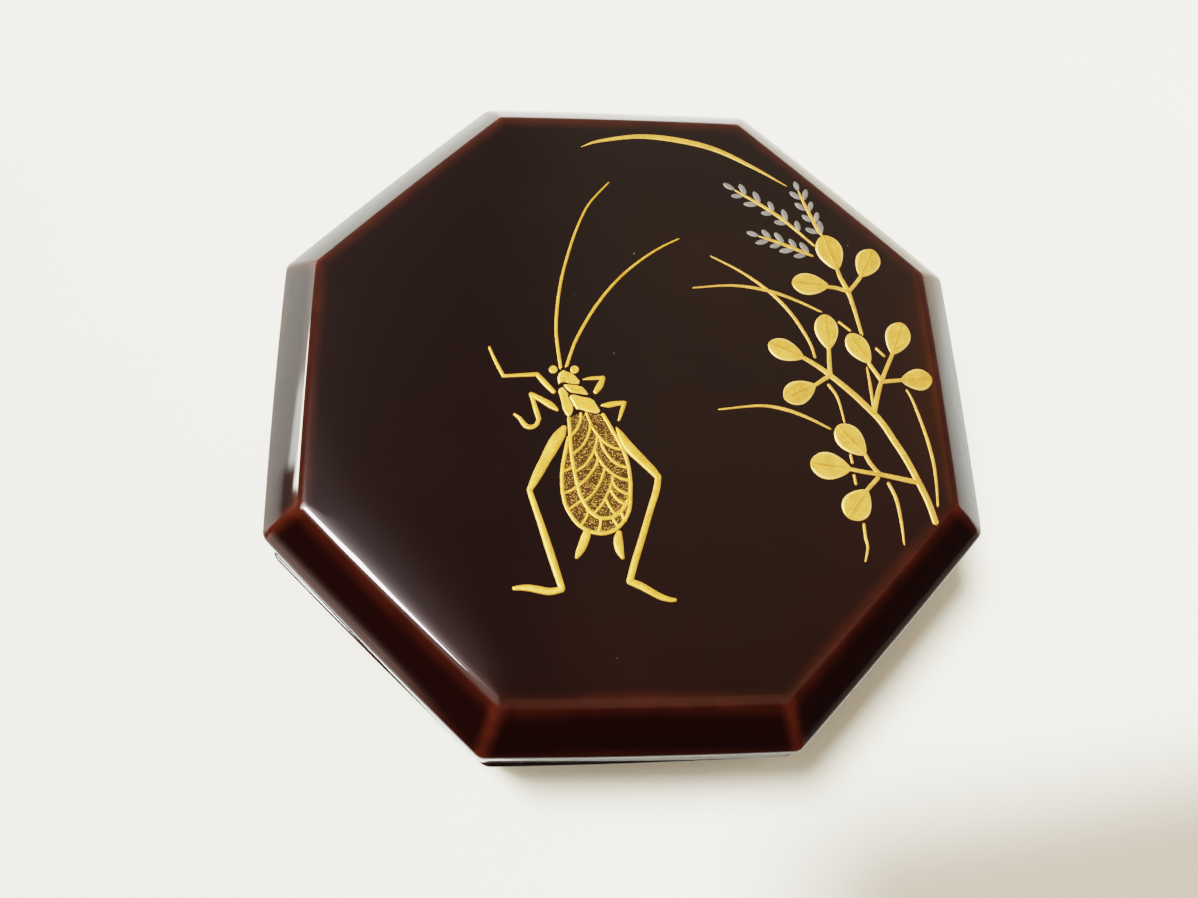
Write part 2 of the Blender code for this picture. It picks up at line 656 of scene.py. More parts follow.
class Shape:
    """A Geometry Nodes tree with named sizes, which turns bare lines into a finished piece."""

    def __init__(self, name: str, sizes: Mapping[str, SizeKind]) -> None:
        """Open the tree.

        Args:
            name: Its name.
            sizes: Its inputs beside the start geometry and the material.
        """
        self.tree = bpy.data.node_groups.new(name, "GeometryNodeTree")
        socket = self.tree.interface.new_socket
        socket("Geometry", in_out="INPUT", socket_type="NodeSocketGeometry")
        for size, kind in {**sizes, "Material": SizeKind.MATERIAL}.items():
            socket(size, in_out="INPUT", socket_type=kind.value)
        socket("Geometry", in_out="OUTPUT", socket_type="NodeSocketGeometry")
        self.bench = Bench(self.tree)
        self.given = self.tree.nodes.new("NodeGroupInput")

    def size(self, name: str) -> Wire:
        """Read one of the named inputs."""
        return self.bench.out(self.given, name)

    def store(self, geometry: Wire, kind: str = "FLOAT", **values: Wire) -> Wire:
        """Write values to every point.

        Args:
            geometry: What carries the points.
            kind: FLOAT for numbers, FLOAT_VECTOR for vectors.
            **values: The values by name.

        Returns:
            The geometry with the values.
        """
        store = "GeometryNodeStoreNamedAttribute"
        for name, value in values.items():
            geometry = self.bench.make(store, data_type=kind, Geometry=geometry, Name=name, Value=value)
        return geometry

    def read(self, name: str, kind: str = "FLOAT") -> Wire:
        """Read a stored value back."""
        return self.bench.make("GeometryNodeInputNamedAttribute", data_type=kind, Name=name)

    def position(self) -> tuple[Wire, Wire, Wire]:
        """The x, y and z of a point."""
        return self.bench.parts(self.bench.make("GeometryNodeInputPosition"))

    def moved(self, geometry: Wire, x: Value, y: Value, z: Value) -> Wire:
        """Put every point somewhere else."""
        place = self.bench.vector(x, y, z)
        return self.bench.make("GeometryNodeSetPosition", Geometry=geometry, Position=place)

    def joined(self, *parts: Wire) -> Wire:
        """Join several geometries into one.

        Args:
            *parts: The geometries.

        Returns:
            The whole.
        """
        join = self.tree.nodes.new("GeometryNodeJoinGeometry")
        for part in parts:
            self.tree.links.new(part.socket, join.inputs[0])
        return self.bench.out(join)

    def drawn(self) -> Wire:
        """The start mesh's lines as curves."""
        return self.bench.make("GeometryNodeMeshToCurve", Mesh=self.size("Geometry"))

    def smooth(self) -> Wire:
        """The start mesh's lines as smooth curves through their points."""
        return self.bench.make("GeometryNodeCurveSplineType", spline_type="CATMULL_ROM", Curve=self.drawn())

    def spaced(self, curve: Wire, spacing: Wire) -> Wire:
        """Divide curves into equal steps of about this length."""
        return self.bench.make("GeometryNodeResampleCurve", mode="LENGTH", Curve=curve, Length=spacing)

    def divided(self, curve: Wire, count: Value) -> Wire:
        """Divide curves by this number of points."""
        return self.bench.make("GeometryNodeResampleCurve", Curve=curve, Count=count)

    def end(self, geometry: Wire, weld: float = 0.002) -> None:
        """Close poles and seams, smooth the shading, and end in Realize Instances and Set Material.

        Args:
            geometry: The finished geometry.
            weld: Points closer than this become one, in millimetres.
        """
        make = self.bench.make
        real = make("GeometryNodeRealizeInstances", Geometry=geometry)
        whole = make("GeometryNodeMergeByDistance", Geometry=real, Distance=weld * MM)
        smooth = make("GeometryNodeSetShadeSmooth", Geometry=whole)
        real = make("GeometryNodeRealizeInstances", Geometry=smooth)
        dressed = make("GeometryNodeSetMaterial", Geometry=real, Material=self.size("Material"))
        self.bench.node("NodeGroupOutput", dressed)

    def carry_out(self, start: bpy.types.Object, sizes: Mapping[str, object]) -> bpy.types.Object:
        """Run the tree on an object and leave it with a plain mesh.

        Args:
            start: The object with the bare lines.
            sizes: The named inputs' values. Lengths are in metres.

        Returns:
            The same object, with its finished mesh and no modifier.
        """
        modifier = start.modifiers.new(self.tree.name, "NODES")
        modifier.node_group = self.tree
        for item in self.tree.interface.items_tree:
            if item.in_out == "INPUT" and item.name in sizes:
                modifier[item.identifier] = sizes[item.name]
        graph = bpy.context.evaluated_depsgraph_get()
        finished = start.evaluated_get(graph)
        mesh = bpy.data.meshes.new_from_object(finished, preserve_all_data_layers=True, depsgraph=graph)
        start.modifiers.clear()
        start.data = mesh
        mesh.name = start.name
        face_outwards(mesh)
        return start


class TurnedShape(Shape):
    """A profile turned round the axis in sides that bow out a little, with rounded corners.

    A point of the profile lies at a distance from the axis to the flats, and has its own corner radius.
    """

    def __init__(self) -> None:
        """Build the tree."""
        counts = {name: SizeKind.COUNT for name in ("Sides", "Corner steps", "Side steps")}
        super().__init__("Turned in sides", {**counts, "Turn": SizeKind.NUMBER, "Bow": SizeKind.NUMBER})
        make = self.bench.make
        sides, arc, run = self.size("Sides"), self.size("Corner steps"), self.size("Side steps")
        per_side = arc + run
        rail = make("GeometryNodeCurvePrimitiveCircle", Resolution=sides * per_side)

        half = math.pi / sides
        index = make("GeometryNodeInputIndex")
        side = (index / per_side).floor()
        step = index - side * per_side
        corner = (side * 2.0 + 1.0) * half + self.size("Turn")
        along = self._soft(self._soft(((step - arc) / run).held()))
        facing = (corner - half + half * 2.0 * step / arc).at_most(corner + half)
        following = corner + half * 2.0
        reach = 1.0 / half.cosine() * (1.0 + self.size("Bow") * along * (1.0 - along) * 4.0)
        post_x = (corner.cosine() * (1.0 - along) + following.cosine() * along) * reach
        post_y = (corner.sine() * (1.0 - along) + following.sine() * along) * reach
        post = self.bench.vector(post_x, post_y, 0.0)
        way = self.bench.vector(facing.cosine(), facing.sine(), 0.0)
        rail = self.store(rail, "FLOAT_VECTOR", post=post, way=way)

        flat, _, height = self.position()
        profile = self.store(self.drawn(), flat=flat, level=height)
        wall = make("GeometryNodeCurveToMesh", Curve=rail, Profile_Curve=profile)
        radius = self.read("corner")
        post = self.bench.scaled(self.read("post", "FLOAT_VECTOR"), self.read("flat") - radius)
        out = self.bench.scaled(self.read("way", "FLOAT_VECTOR"), radius)
        x, y, _ = self.bench.parts(self.bench.vector_sum(post, out))
        self.end(self.moved(wall, x, y, self.read("level")))

    def _soft(self, share: Wire) -> Wire:
        """Ease a share from 0 to 1 at both ends."""
        return share * share * (3.0 - share * 2.0)


class ReliefShape(Shape):
    """A shape that lies on the lid as raised lacquer, closed below and sunk a little into the lid."""

    vein_width = 0.11
    full_height_from = 0.16

    def __init__(self, name: str, numbers: Sequence[str], counts: Sequence[str] = ()) -> None:
        """Open the tree.

        Args:
            name: Its name.
            numbers: Its own inputs that take numbers.
            counts: Its own inputs that take whole numbers.
        """
        sizes = {"Lid": SizeKind.OBJECT, **{size: SizeKind.NUMBER for size in ("Rise", "Sink", *numbers)}}
        super().__init__(name, {**sizes, **{size: SizeKind.COUNT for size in counts}})

    def laid(self, geometry: Wire, form: Wire, top: Wire) -> Wire:
        """Lay points on the lid.

        Args:
            geometry: What carries the points, at their places but at any height.
            form: How high they stand, as a share of the rise.
            top: 1 on the upper side, and 0 on the underside, which sinks into the lid.

        Returns:
            The geometry at its height.
        """
        x, y, _ = self.position()
        lid = self.bench.make("GeometryNodeObjectInfo", Object=self.size("Lid"), output="Geometry")
        ray = {"Ray Direction": (0.0, 0.0, -1.0), "Ray Length": 100.0 * MM, "output": "Hit Position"}
        above = self.bench.vector(x, y, 50.0 * MM)
        hit = self.bench.make("GeometryNodeRaycast", Target_Geometry=lid, Source_Position=above, **ray)
        lift = form * self.size("Rise") * top - self.size("Sink") * (1.0 - top)
        return self.moved(geometry, x, y, self.bench.parts(hit)[2] + lift)

    def swept(self, curve: Wire, half_width: Wire, steps: int, dish: float = 0.0, vein: float = 0.0) -> Wire:
        """Sweep a low domed section along flat curves and lay it on the lid.

        Args:
            curve: The curves, flat at any height.
            half_width: Half the width at each point of the curves.
            steps: Points round the section.
            dish: How far the middle lies below the rims, as a share of the rise.
            vein: How far a line along the middle stands up, as a share of the rise.

        Returns:
            The closed mesh.
        """
        make = self.bench.make
        curve = make("GeometryNodeSetCurveNormal", mode="Z_UP", Curve=curve)
        curve = self.store(curve, spread=half_width)
        section = make("GeometryNodeCurvePrimitiveCircle", Resolution=steps, Radius=1.0)
        across, crest, _ = self.position()
        section = self.store(section, across=across, crest=crest)
        spread = self.read("spread")
        band = make("GeometryNodeCurveToMesh", Curve=curve, Profile_Curve=section, Scale=spread)

        side = abs(self.read("across"))
        dome = (1.0 - side ** 5.0).at_least(0.0) ** 0.5
        form = dome - (1.0 - side ** 3.0) * dish + (1.0 - side / self.vein_width).at_least(0.0) * vein
        fine = (self.read("spread") / (self.full_height_from * MM)).held() ** 0.5
        return self.laid(band, form * fine, self.read("crest") > 0.01)


class StrokeShape(ReliefShape):
    """Raised brush strokes with round ends, along smooth lines that carry their half-widths."""

    def __init__(self) -> None:
        """Build the tree."""
        super().__init__("Raised strokes", ("Spacing",))
        make = self.bench.make
        curve = make("GeometryNodeSetSplineResolution", Geometry=self.smooth(), Resolution=16)
        curve = self.spaced(curve, self.size("Spacing"))
        gone = make("GeometryNodeSplineParameter", output="Length")
        left = make("GeometryNodeSplineLength", output="Length") - gone
        half = self.read("half_width").at_least(0.01 * MM)
        bare = 1.0 - (gone.at_most(left) / half).held()
        cap = (1.0 - bare * bare).at_least(0.0) ** 0.5
        self.end(self.swept(curve, half * cap, steps=14))


class PetalShape(ReliefShape):
    """Leaves or florets: raised petals that stand on points, each with a direction, length and width."""

    def petals(self, points: Wire, angle: Wire, length: Wire, steps: int, dish: float, vein: float) -> Wire:
        """Lay a petal at each point.

        Args:
            points: The points, which carry the petals' width.
            angle: Direction from foot to tip.
            length: Length from foot to tip.
            steps: Points round a petal's section.
            dish: How far the middle lies below the rims.
            vein: How far the midrib stands up.

        Returns:
            The closed meshes.
        """
        make = self.bench.make
        axis = self.divided(make("GeometryNodeCurvePrimitiveLine", End=(1.0, 0.0, 0.0)), max(12, steps - 6))
        share, _, _ = self.position()
        axis = self.store(axis, along=0.5 - (share * math.pi).cosine() * 0.5)
        axis = self.moved(axis, self.read("along"), 0.0, 0.0)
        turn = make("FunctionNodeEulerToRotation", self.bench.vector(0.0, 0.0, angle))
        size = self.bench.vector(length, length, length)
        placed = make("GeometryNodeInstanceOnPoints", Points=points, Instance=axis, Rotation=turn, Scale=size)
        placed = make("GeometryNodeRealizeInstances", Geometry=placed)
        round_share = ((self.read("along") ** self.size("Belly")) * math.pi).sine().at_least(0.0)
        outline = round_share ** self.size("Fullness")
        return self.swept(placed, self.read("width") * 0.5 * outline, steps, dish, vein)


class LeafShape(PetalShape):
    """Round leaves with a raised rim and midrib, one on each point of the start mesh."""

    def __init__(self) -> None:
        """Build the tree."""
        super().__init__("Leaves", ("Belly", "Fullness"))
        points, angle, length = self.size("Geometry"), self.read("angle"), self.read("length")
        self.end(self.petals(points, angle, length, steps=44, dish=0.22, vein=0.3))


class SpikeShape(PetalShape):
    """Florets in two rows along stems that run from tip to root, and one floret on each tip."""

    uneven = (0.88, 1.12)
    step_of_stem = 0.1

    def __init__(self) -> None:
        """Build the tree."""
        own = ("Spacing", "Splay", "Length", "Width", "Gap")
        super().__init__("Florets", ("Belly", "Fullness", *own), ("Seed",))
        make = self.bench.make
        stems = self.spaced(self.smooth(), self.size("Spacing") * self.step_of_stem)
        rows = (self._row(stems, 1.0, "right_reach"), self._row(stems, -1.0, "left_reach"))
        points = self.joined(*rows, self._tips(stems))
        number, (low, high) = make("GeometryNodeInputIndex"), self.uneven
        vary = make("FunctionNodeRandomValue", Min=low, Max=high, ID=number, Seed=self.size("Seed"))
        points = self.store(points, width=self.size("Width") * (vary * 0.5 + 0.5))
        length = self.size("Length") * vary
        self.end(self.petals(points, self.read("heading"), length, steps=16, dish=0.1, vein=0.0))

    def _trimmed(self, stems: Wire, start: Value, end: Value) -> Wire:
        """Keep the stretch of the stems between two distances from their tips."""
        return self.bench.make("GeometryNodeTrimCurve", mode="LENGTH", Curve=stems, Start=start, End=end)

    def _headings(self, points: bpy.types.Node, splay: Value = 0.0) -> Wire:
        """Take points of stems that are drawn from tip to root.

        Args:
            points: The node that makes them.
            splay: How far their florets turn to the right of the way from root to tip.

        Returns:
            The points, with the florets' directions.
        """
        x, y, _ = self.bench.parts(self.bench.out(points, "Tangent"))
        heading = self.bench.math("ARCTAN2", -y, -x)
        return self.store(self.bench.out(points, "Points"), heading=heading - splay)

    def _row(self, stems: Wire, side: float, reach: str) -> Wire:
        """Points along one side of the stems, with the florets' directions.

        Args:
            stems: The stems.
            side: 1 for the right side, seen from root to tip, and -1 for the left side.
            reach: Name of the number that tells how far down from the tip the row goes.

        Returns:
            The points.
        """
        spacing, splay, gap = self.size("Spacing"), self.size("Splay") * side, self.size("Gap")
        row = self._trimmed(stems, spacing * (0.84 + 0.06 * side), self.read(reach))
        points = self.bench.node("GeometryNodeCurveToPoints", mode="LENGTH", Curve=row, Length=spacing)
        row = self._headings(points, splay)
        x, y, _ = self.position()
        outward = self.read("heading") - math.pi / 2 * side + splay
        return self.moved(row, x + outward.cosine() * gap, y + outward.sine() * gap, 0.0)

    def _tips(self, stems: Wire) -> Wire:
        """The stems' tips, with the direction in which they point."""
        ends = self._trimmed(stems, 0.0, 0.05 * MM)
        return self._headings(self.bench.node("GeometryNodeCurveToPoints", mode="COUNT", Curve=ends, Count=1))


class PlateShape(ReliefShape):
    """Raised plates: closed outlines filled from their middles, with rounded borders."""

    crowding = 2.2

    def __init__(self) -> None:
        """Build the tree."""
        super().__init__("Raised plates", ("Border",), ("Rings",))
        make = self.bench.make
        outline = self.divided(self.smooth(), 64)
        edge_x, edge_y, _ = self.position()
        outline = self.store(outline, edge_x=edge_x, edge_y=edge_y)

        rings = self.size("Rings")
        section = self.divided(make("GeometryNodeCurvePrimitiveLine"), rings + 3.0)
        step = make("GeometryNodeInputIndex")
        share = (step > 0.5) * (1.0 - ((step - 2.0) / rings).held() ** self.crowding)
        section = self.store(section, across=share, top=step > 1.5)
        plate = make("GeometryNodeCurveToMesh", Curve=outline, Profile_Curve=section)

        share = self.read("across")
        border = ((1.0 - share) / self.size("Border")).held()
        dome = (1.0 - (1.0 - border) * (1.0 - border)).at_least(0.0) ** 0.5
        x, y = (self._between("middle_" + axis, "edge_" + axis, share) for axis in "xy")
        self.end(self.laid(self.moved(plate, x, y, 0.0), dome, self.read("top")))

    def _between(self, start: str, end: str, share: Wire) -> Wire:
        """A place between two stored ones."""
        return self.read(start) + (self.read(end) - self.read(start)) * share


# The box


class Slot(Enum):
    """The record's material slots."""

    LID = "lid_lacquer"
    BODY = "body_lacquer"
    GOLD = "gold_powder"
    SILVER = "silver_powder"


def enter(piece: bpy.types.Object, slot: Slot, node: str | None = None) -> bpy.types.Object:
    """Parent a finished piece to the body's empty, and hide the CAD node that it stands for.

    Args:
        piece: The piece.
        slot: Not used.
        node: The CAD node that it stands for, if any.

    Returns:
        The same piece.
    """
    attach(piece, ONLY_BODY)
    if node:
        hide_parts(node)
    return piece


@dataclass(frozen=True)
class Bend:
    """A place where a profile turns.

    Args:
        flat: Distance from the axis to the box's flats.
        level: Height above the ground.
        edge: Radius of the rounding along the profile.
        corner: Radius of the rounding between two sides of the box.
        inner: 1 on a surface inside the box.
    """

    flat: float
    level: float
    edge: float = 0.0
    corner: float = 1.0
    inner: float = 0.0


def rounded_profile(bends: Sequence[Bend], hold: float = 0.22) -> Line:
    """Round the turns of a profile, and hold each rounding with a point beside it.

    Args:
        bends: The profile, from the axis over the outside and back to the axis.
        hold: How far the holding points lie from a rounding, in millimetres.

    Returns:
        The line that a turned shape starts from.
    """
    made = [bends[0]]
    for before, bend, after in zip(bends, bends[1:], bends[2:]):
        if not bend.edge:
            made.append(bend)
            continue
        here = Vector((bend.flat, bend.level))
        way_in = (here - Vector((before.flat, before.level))).normalized()
        way_out = (Vector((after.flat, after.level)) - here).normalized()
        aside = (way_out - way_in * way_in.dot(way_out)).normalized()
        turn = way_in.angle(way_out)
        reach = bend.edge * math.tan(turn / 2)
        start, end = here - way_in * reach, here + way_out * reach
        steps = max(3, round(math.degrees(turn) / 7.5))
        arc = [turn * step / steps for step in range(steps + 1)]
        places = [start + (way_in * math.sin(a) + aside * (1 - math.cos(a))) * bend.edge for a in arc]
        places = [start - way_in * hold, *places, end + way_out * hold]
        made += [Bend(place.x, place.y, 0.0, bend.corner, bend.inner) for place in places]
    made.append(bends[-1])
    values = {"corner": [bend.corner * MM for bend in made], "inner": [bend.inner for bend in made]}
    return Line([(bend.flat, 0.0, bend.level) for bend in made], values)


@dataclass(frozen=True)
class TurnedPiece:
    """A piece of the box that is turned from a profile in eight sides."""

    sides: int = 8
    corner_steps: int = 12
    side_steps: int = 12
    bow: float = 0.0038

    def turned(self, name: str, line: Line, turn: float, shape: TurnedShape) -> bpy.types.Object:
        """Turn a profile.

        Args:
            name: The piece's name.
            line: The profile.
            turn: Angle by which the piece is turned about the axis, in degrees.
            shape: The tree that turns profiles.

        Returns:
            The finished piece.
        """
        sizes = {"Sides": self.sides, "Corner steps": self.corner_steps, "Side steps": self.side_steps}
        sizes |= {"Turn": math.radians(turn), "Bow": self.bow}
        sizes["Material"] = self.finish().material(name + "_finish")
        return shape.carry_out(start_object(name, [line]), sizes)

    def finish(self) -> Finish:
        """Give the piece's finish."""
        raise NotImplementedError


@dataclass(frozen=True)
class Lid(TurnedPiece):
    """The lift-off lid: a low crown, a broad chamfer, an upright wall and a hollow below."""

    flat: float = 36.95
    foot: float = 9.9
    rim: float = 15.35
    chamfer: float = 4.23
    rise: float = 4.12
    crown: float = 0.32
    chamfer_belly: float = 0.19
    belly_edge: float = 28.0
    wall: float = 2.35
    ceiling: float = 16.8
    top_ridge: float = 1.6
    rim_ridge: float = 0.7
    top_corner: float = 1.0
    rim_corner: float = 1.4
    crown_rings: int = 30

    def build(self, shape: TurnedShape) -> bpy.types.Object:
        """Turn and finish the lid.

        Args:
            shape: The tree that turns profiles.

        Returns:
            The finished lid.
        """
        edge_flat, edge_level = self.flat - self.chamfer, self.rim + self.rise
        crown = [self._crown(edge_flat * ring / self.crown_rings) for ring in range(self.crown_rings)]
        inner_flat = self.flat - self.wall
        slope_sum = self.flat + self.rim - self.wall * math.sqrt(2)
        bends = [
            *crown,
            Bend(edge_flat, edge_level, self.top_ridge, self.top_corner),
            Bend(*self._belly(edge_flat, edge_level), self.belly_edge, self.top_corner),
            Bend(self.flat, self.rim, self.rim_ridge, self.rim_corner),
            Bend(self.flat, self.foot, 0.25, self.rim_corner),
            Bend(inner_flat, self.foot, 0.3, 1.0, 1.0),
            Bend(inner_flat, slope_sum - inner_flat, 0.9, 1.0, 1.0),
            Bend(slope_sum - self.ceiling, self.ceiling, 1.4, 1.0, 1.0),
            Bend(0.0, self.ceiling, 0.0, 0.0, 1.0),
        ]
        return enter(self.turned("lid_shell", rounded_profile(bends), 0.0, shape), Slot.LID, "lid")

    def finish(self) -> Lacquer:
        """Choose lacquer that has run thin over the lid's ridges.

        Returns:
            The lacquer.
        """
        top_edge = self.flat - self.chamfer
        edges = (ThinEdge(top_edge + 0.1, 1.6, 1.5, 0.47), ThinEdge(self.flat - 0.1, 0.6, 0.4, 0.28))
        levels = (ThinEdge(self.foot, 0.5, 0.6, 0.6),)
        return Lacquer(edges, levels, ridges_from=top_edge - 0.5, ridges_to=top_edge + 0.5)

    def _crown(self, flat: float) -> Bend:
        """A point of the crown, whose rings go from round in the middle to eight-sided at the edge.

        Args:
            flat: Distance from the axis.

        Returns:
            The point.
        """
        share = flat / (self.flat - self.chamfer)
        level = self.rim + self.rise + self.crown * (1 - 0.45 * share**2.5 - 0.55 * share**14)
        return Bend(flat, level, 0.0, self.top_corner + (0.95 * flat - self.top_corner) * (1 - share**5))

    def _belly(self, edge_flat: float, edge_level: float) -> Point:
        """The middle of the chamfer, which swells out a hair."""
        out = self.chamfer_belly * math.sqrt(0.5)
        return (edge_flat + self.flat) / 2 + out, (edge_level + self.rim) / 2 + out


@dataclass(frozen=True)
class Body(TurnedPiece):
    """The hollow body: a chamfered foot, a leaning wall, a shoulder, an upstand and a floor."""

    shoulder_flat: float = 37.11
    shoulder: float = 9.84
    wall_foot_flat: float = 36.52
    foot_chamfer: float = 4.0
    upstand_flat: float = 34.1
    upstand_thickness: float = 1.3
    upstand_top: float = 12.4
    floor: float = 2.8
    turn_under_lid: float = 0.69

    def build(self, shape: TurnedShape) -> bpy.types.Object:
        """Turn and finish the body.

        Args:
            shape: The tree that turns profiles.

        Returns:
            The finished body.
        """
        inner_flat = self.upstand_flat - self.upstand_thickness
        bends = [
            Bend(0.0, 0.0, 0.0, 0.0),
            Bend(self.wall_foot_flat - self.foot_chamfer, 0.0, 0.9, 1.2),
            Bend(self.wall_foot_flat, self.foot_chamfer, 1.1, 1.6),
            Bend(self.shoulder_flat, self.shoulder, 0.22, 1.7),
            Bend(self.upstand_flat, self.shoulder, 0.3, 1.1),
            Bend(self.upstand_flat, self.upstand_top, 0.4, 1.1, 1.0),
            Bend(inner_flat, self.upstand_top, 0.4, 1.0, 1.0),
            Bend(inner_flat, self.floor, 1.5, 1.5, 1.0),
            Bend(0.0, self.floor, 0.0, 0.0, 1.0),
        ]
        piece = self.turned("body_shell", rounded_profile(bends, hold=0.15), self.turn_under_lid, shape)
        return enter(piece, Slot.BODY, "box_body")

    def finish(self) -> Lacquer:
        """Choose lacquer that has run thin over the body's edges.

        Returns:
            The lacquer.
        """
        foot_flat = self.wall_foot_flat - self.foot_chamfer
        foot = ThinEdge(foot_flat, 0.5, 0.7, 0.4)
        levels = (ThinEdge(self.shoulder, 0.45, 0.3, 0.12), ThinEdge(self.foot_chamfer, 0.6, 0.6, 0.5))
        return Lacquer((foot,), levels, ridges_from=foot_flat - 0.5, ridges_to=foot_flat + 0.5)


# The picture on the lid. Its places are millimetres to the right of the middle and towards the back.


PICTURE_TURN = math.radians(0.36)
PICTURE_SHIFT = (-0.07, 0.16)


def on_lid(points: Sequence[Point]) -> list[Point]:
    """Turn and shift the picture's places by the hair by which it stands askew on the lid.

    Args:
        points: The places.

    Returns:
        The places on the lid.
    """
    cosine, sine = math.cos(PICTURE_TURN), math.sin(PICTURE_TURN)
    right, back = PICTURE_SHIFT
    return [(x * cosine - y * sine + right, x * sine + y * cosine + back) for x, y in points]


def stroke(points: Sequence[Point], *widths: float) -> Line:
    """Draw a brush stroke, with round ends about its first and last points.

    Args:
        points: Its path.
        *widths: Its full widths, spread evenly from its start to its end.

    Returns:
        The line that raised strokes start from.
    """
    halves = []
    for number in range(len(points)):
        place = number / (len(points) - 1) * (len(widths) - 1)
        first = min(int(place), max(len(widths) - 2, 0))
        last = min(first + 1, len(widths) - 1)
        width = widths[first] + (widths[last] - widths[first]) * (place - first)
        halves.append(width / 2)
    path = [Vector(point) for point in on_lid(points)]
    start = path[0] + (path[0] - path[1]).normalized() * halves[0]
    end = path[-1] + (path[-1] - path[-2]).normalized() * halves[-1]
    halves = [halves[0], *halves, halves[-1]]
    return Line([start, *path, end], {"half_width": [half * MM for half in halves]})


def plate(points: Sequence[Point], cornered: bool = False) -> Line:
    """Draw the closed outline of a plate that is filled from the mean of its points.

    Args:
        points: The outline.
        cornered: Whether its points are corners, with straight edges between them.

    Returns:
        The line that raised plates start from.
    """
    points = [point for point in on_lid(points) for _ in range(2 if cornered else 1)]
    middle_x = sum(x for x, _ in points) / len(points) * MM
    middle_y = sum(y for _, y in points) / len(points) * MM
    return Line(points, {"middle_x": middle_x, "middle_y": middle_y}, closed=True)


def disc(x: float, y: float, radius: float, sides: int = 8) -> Line:
    """Draw a round plate."""
    angles = [2 * math.pi * side / sides for side in range(sides)]
    return plate([(x + radius * math.cos(a), y + radius * math.sin(a)) for a in angles])


@dataclass(frozen=True)
class Relief:
    """Raised lacquer on the lid under gold and silver powder."""

    lid: bpy.types.Object
    strokes: StrokeShape
    plates: PlateShape
    leaves: LeafShape
    spikes: SpikeShape
    sink: float = 0.05
    spacing: float = 0.12
    plate_rings: int = 12

    def raise_lines(
        self,
        shape: ReliefShape,
        name: str,
        lines: Sequence[Line],
        finish: Finish,
        rise: float,
        slot: Slot = Slot.GOLD,
        **sizes: float,
    ) -> bpy.types.Object:
        """Raise lines of the picture on the lid.

        Args:
            shape: The tree that makes them.
            name: The piece's name.
            lines: What it starts from.
            finish: The powder.
            rise: Height above the lid, in millimetres.
            slot: Handed on to enter.
            **sizes: Further inputs of the tree.

        Returns:
            The finished piece.
        """
        given = {"Lid": self.lid, "Rise": rise * MM, "Sink": self.sink * MM, **sizes}
        given["Material"] = finish.material(name + "_finish")
        return enter(shape.carry_out(start_object(name, lines), given), slot)

    def draw(self, name: str, lines: Sequence[Line], finish: Finish, rise: float) -> bpy.types.Object:
        """Draw brush strokes on the lid."""
        return self.raise_lines(self.strokes, name, lines, finish, rise, Spacing=self.spacing * MM)

    def fill(
        self, name: str, lines: Sequence[Line], finish: Finish, rise: float, border: float
    ) -> bpy.types.Object:
        """Lay plates on the lid, with a border given as a share of their width."""
        sizes = {"Rings": self.plate_rings, "Border": border}
        return self.raise_lines(self.plates, name, lines, finish, rise, **sizes)


# The powders, with their dark, middle and light colours and the colour of their painted rim highlight


WARM_GOLD = Powder((0.30, 0.13, 0.025), (0.56, 0.28, 0.055), (0.78, 0.44, 0.11), (0.88, 0.56, 0.19))
PALE_GOLD = Powder((0.33, 0.14, 0.019), (0.585, 0.285, 0.039), (0.77, 0.425, 0.082), (0.90, 0.58, 0.16))
LEAF_GOLD = Powder(
    (0.32, 0.14, 0.025), (0.58, 0.29, 0.055), (0.76, 0.42, 0.10), (0.90, 0.60, 0.21), vein=(0.30, 0.13, 0.02)
)
SILVER = Powder(
    (0.060, 0.054, 0.048),
    (0.135, 0.125, 0.113),
    (0.215, 0.20, 0.18),
    (0.25, 0.235, 0.21),
    metal=0.35,
    gloss=0.5,
)


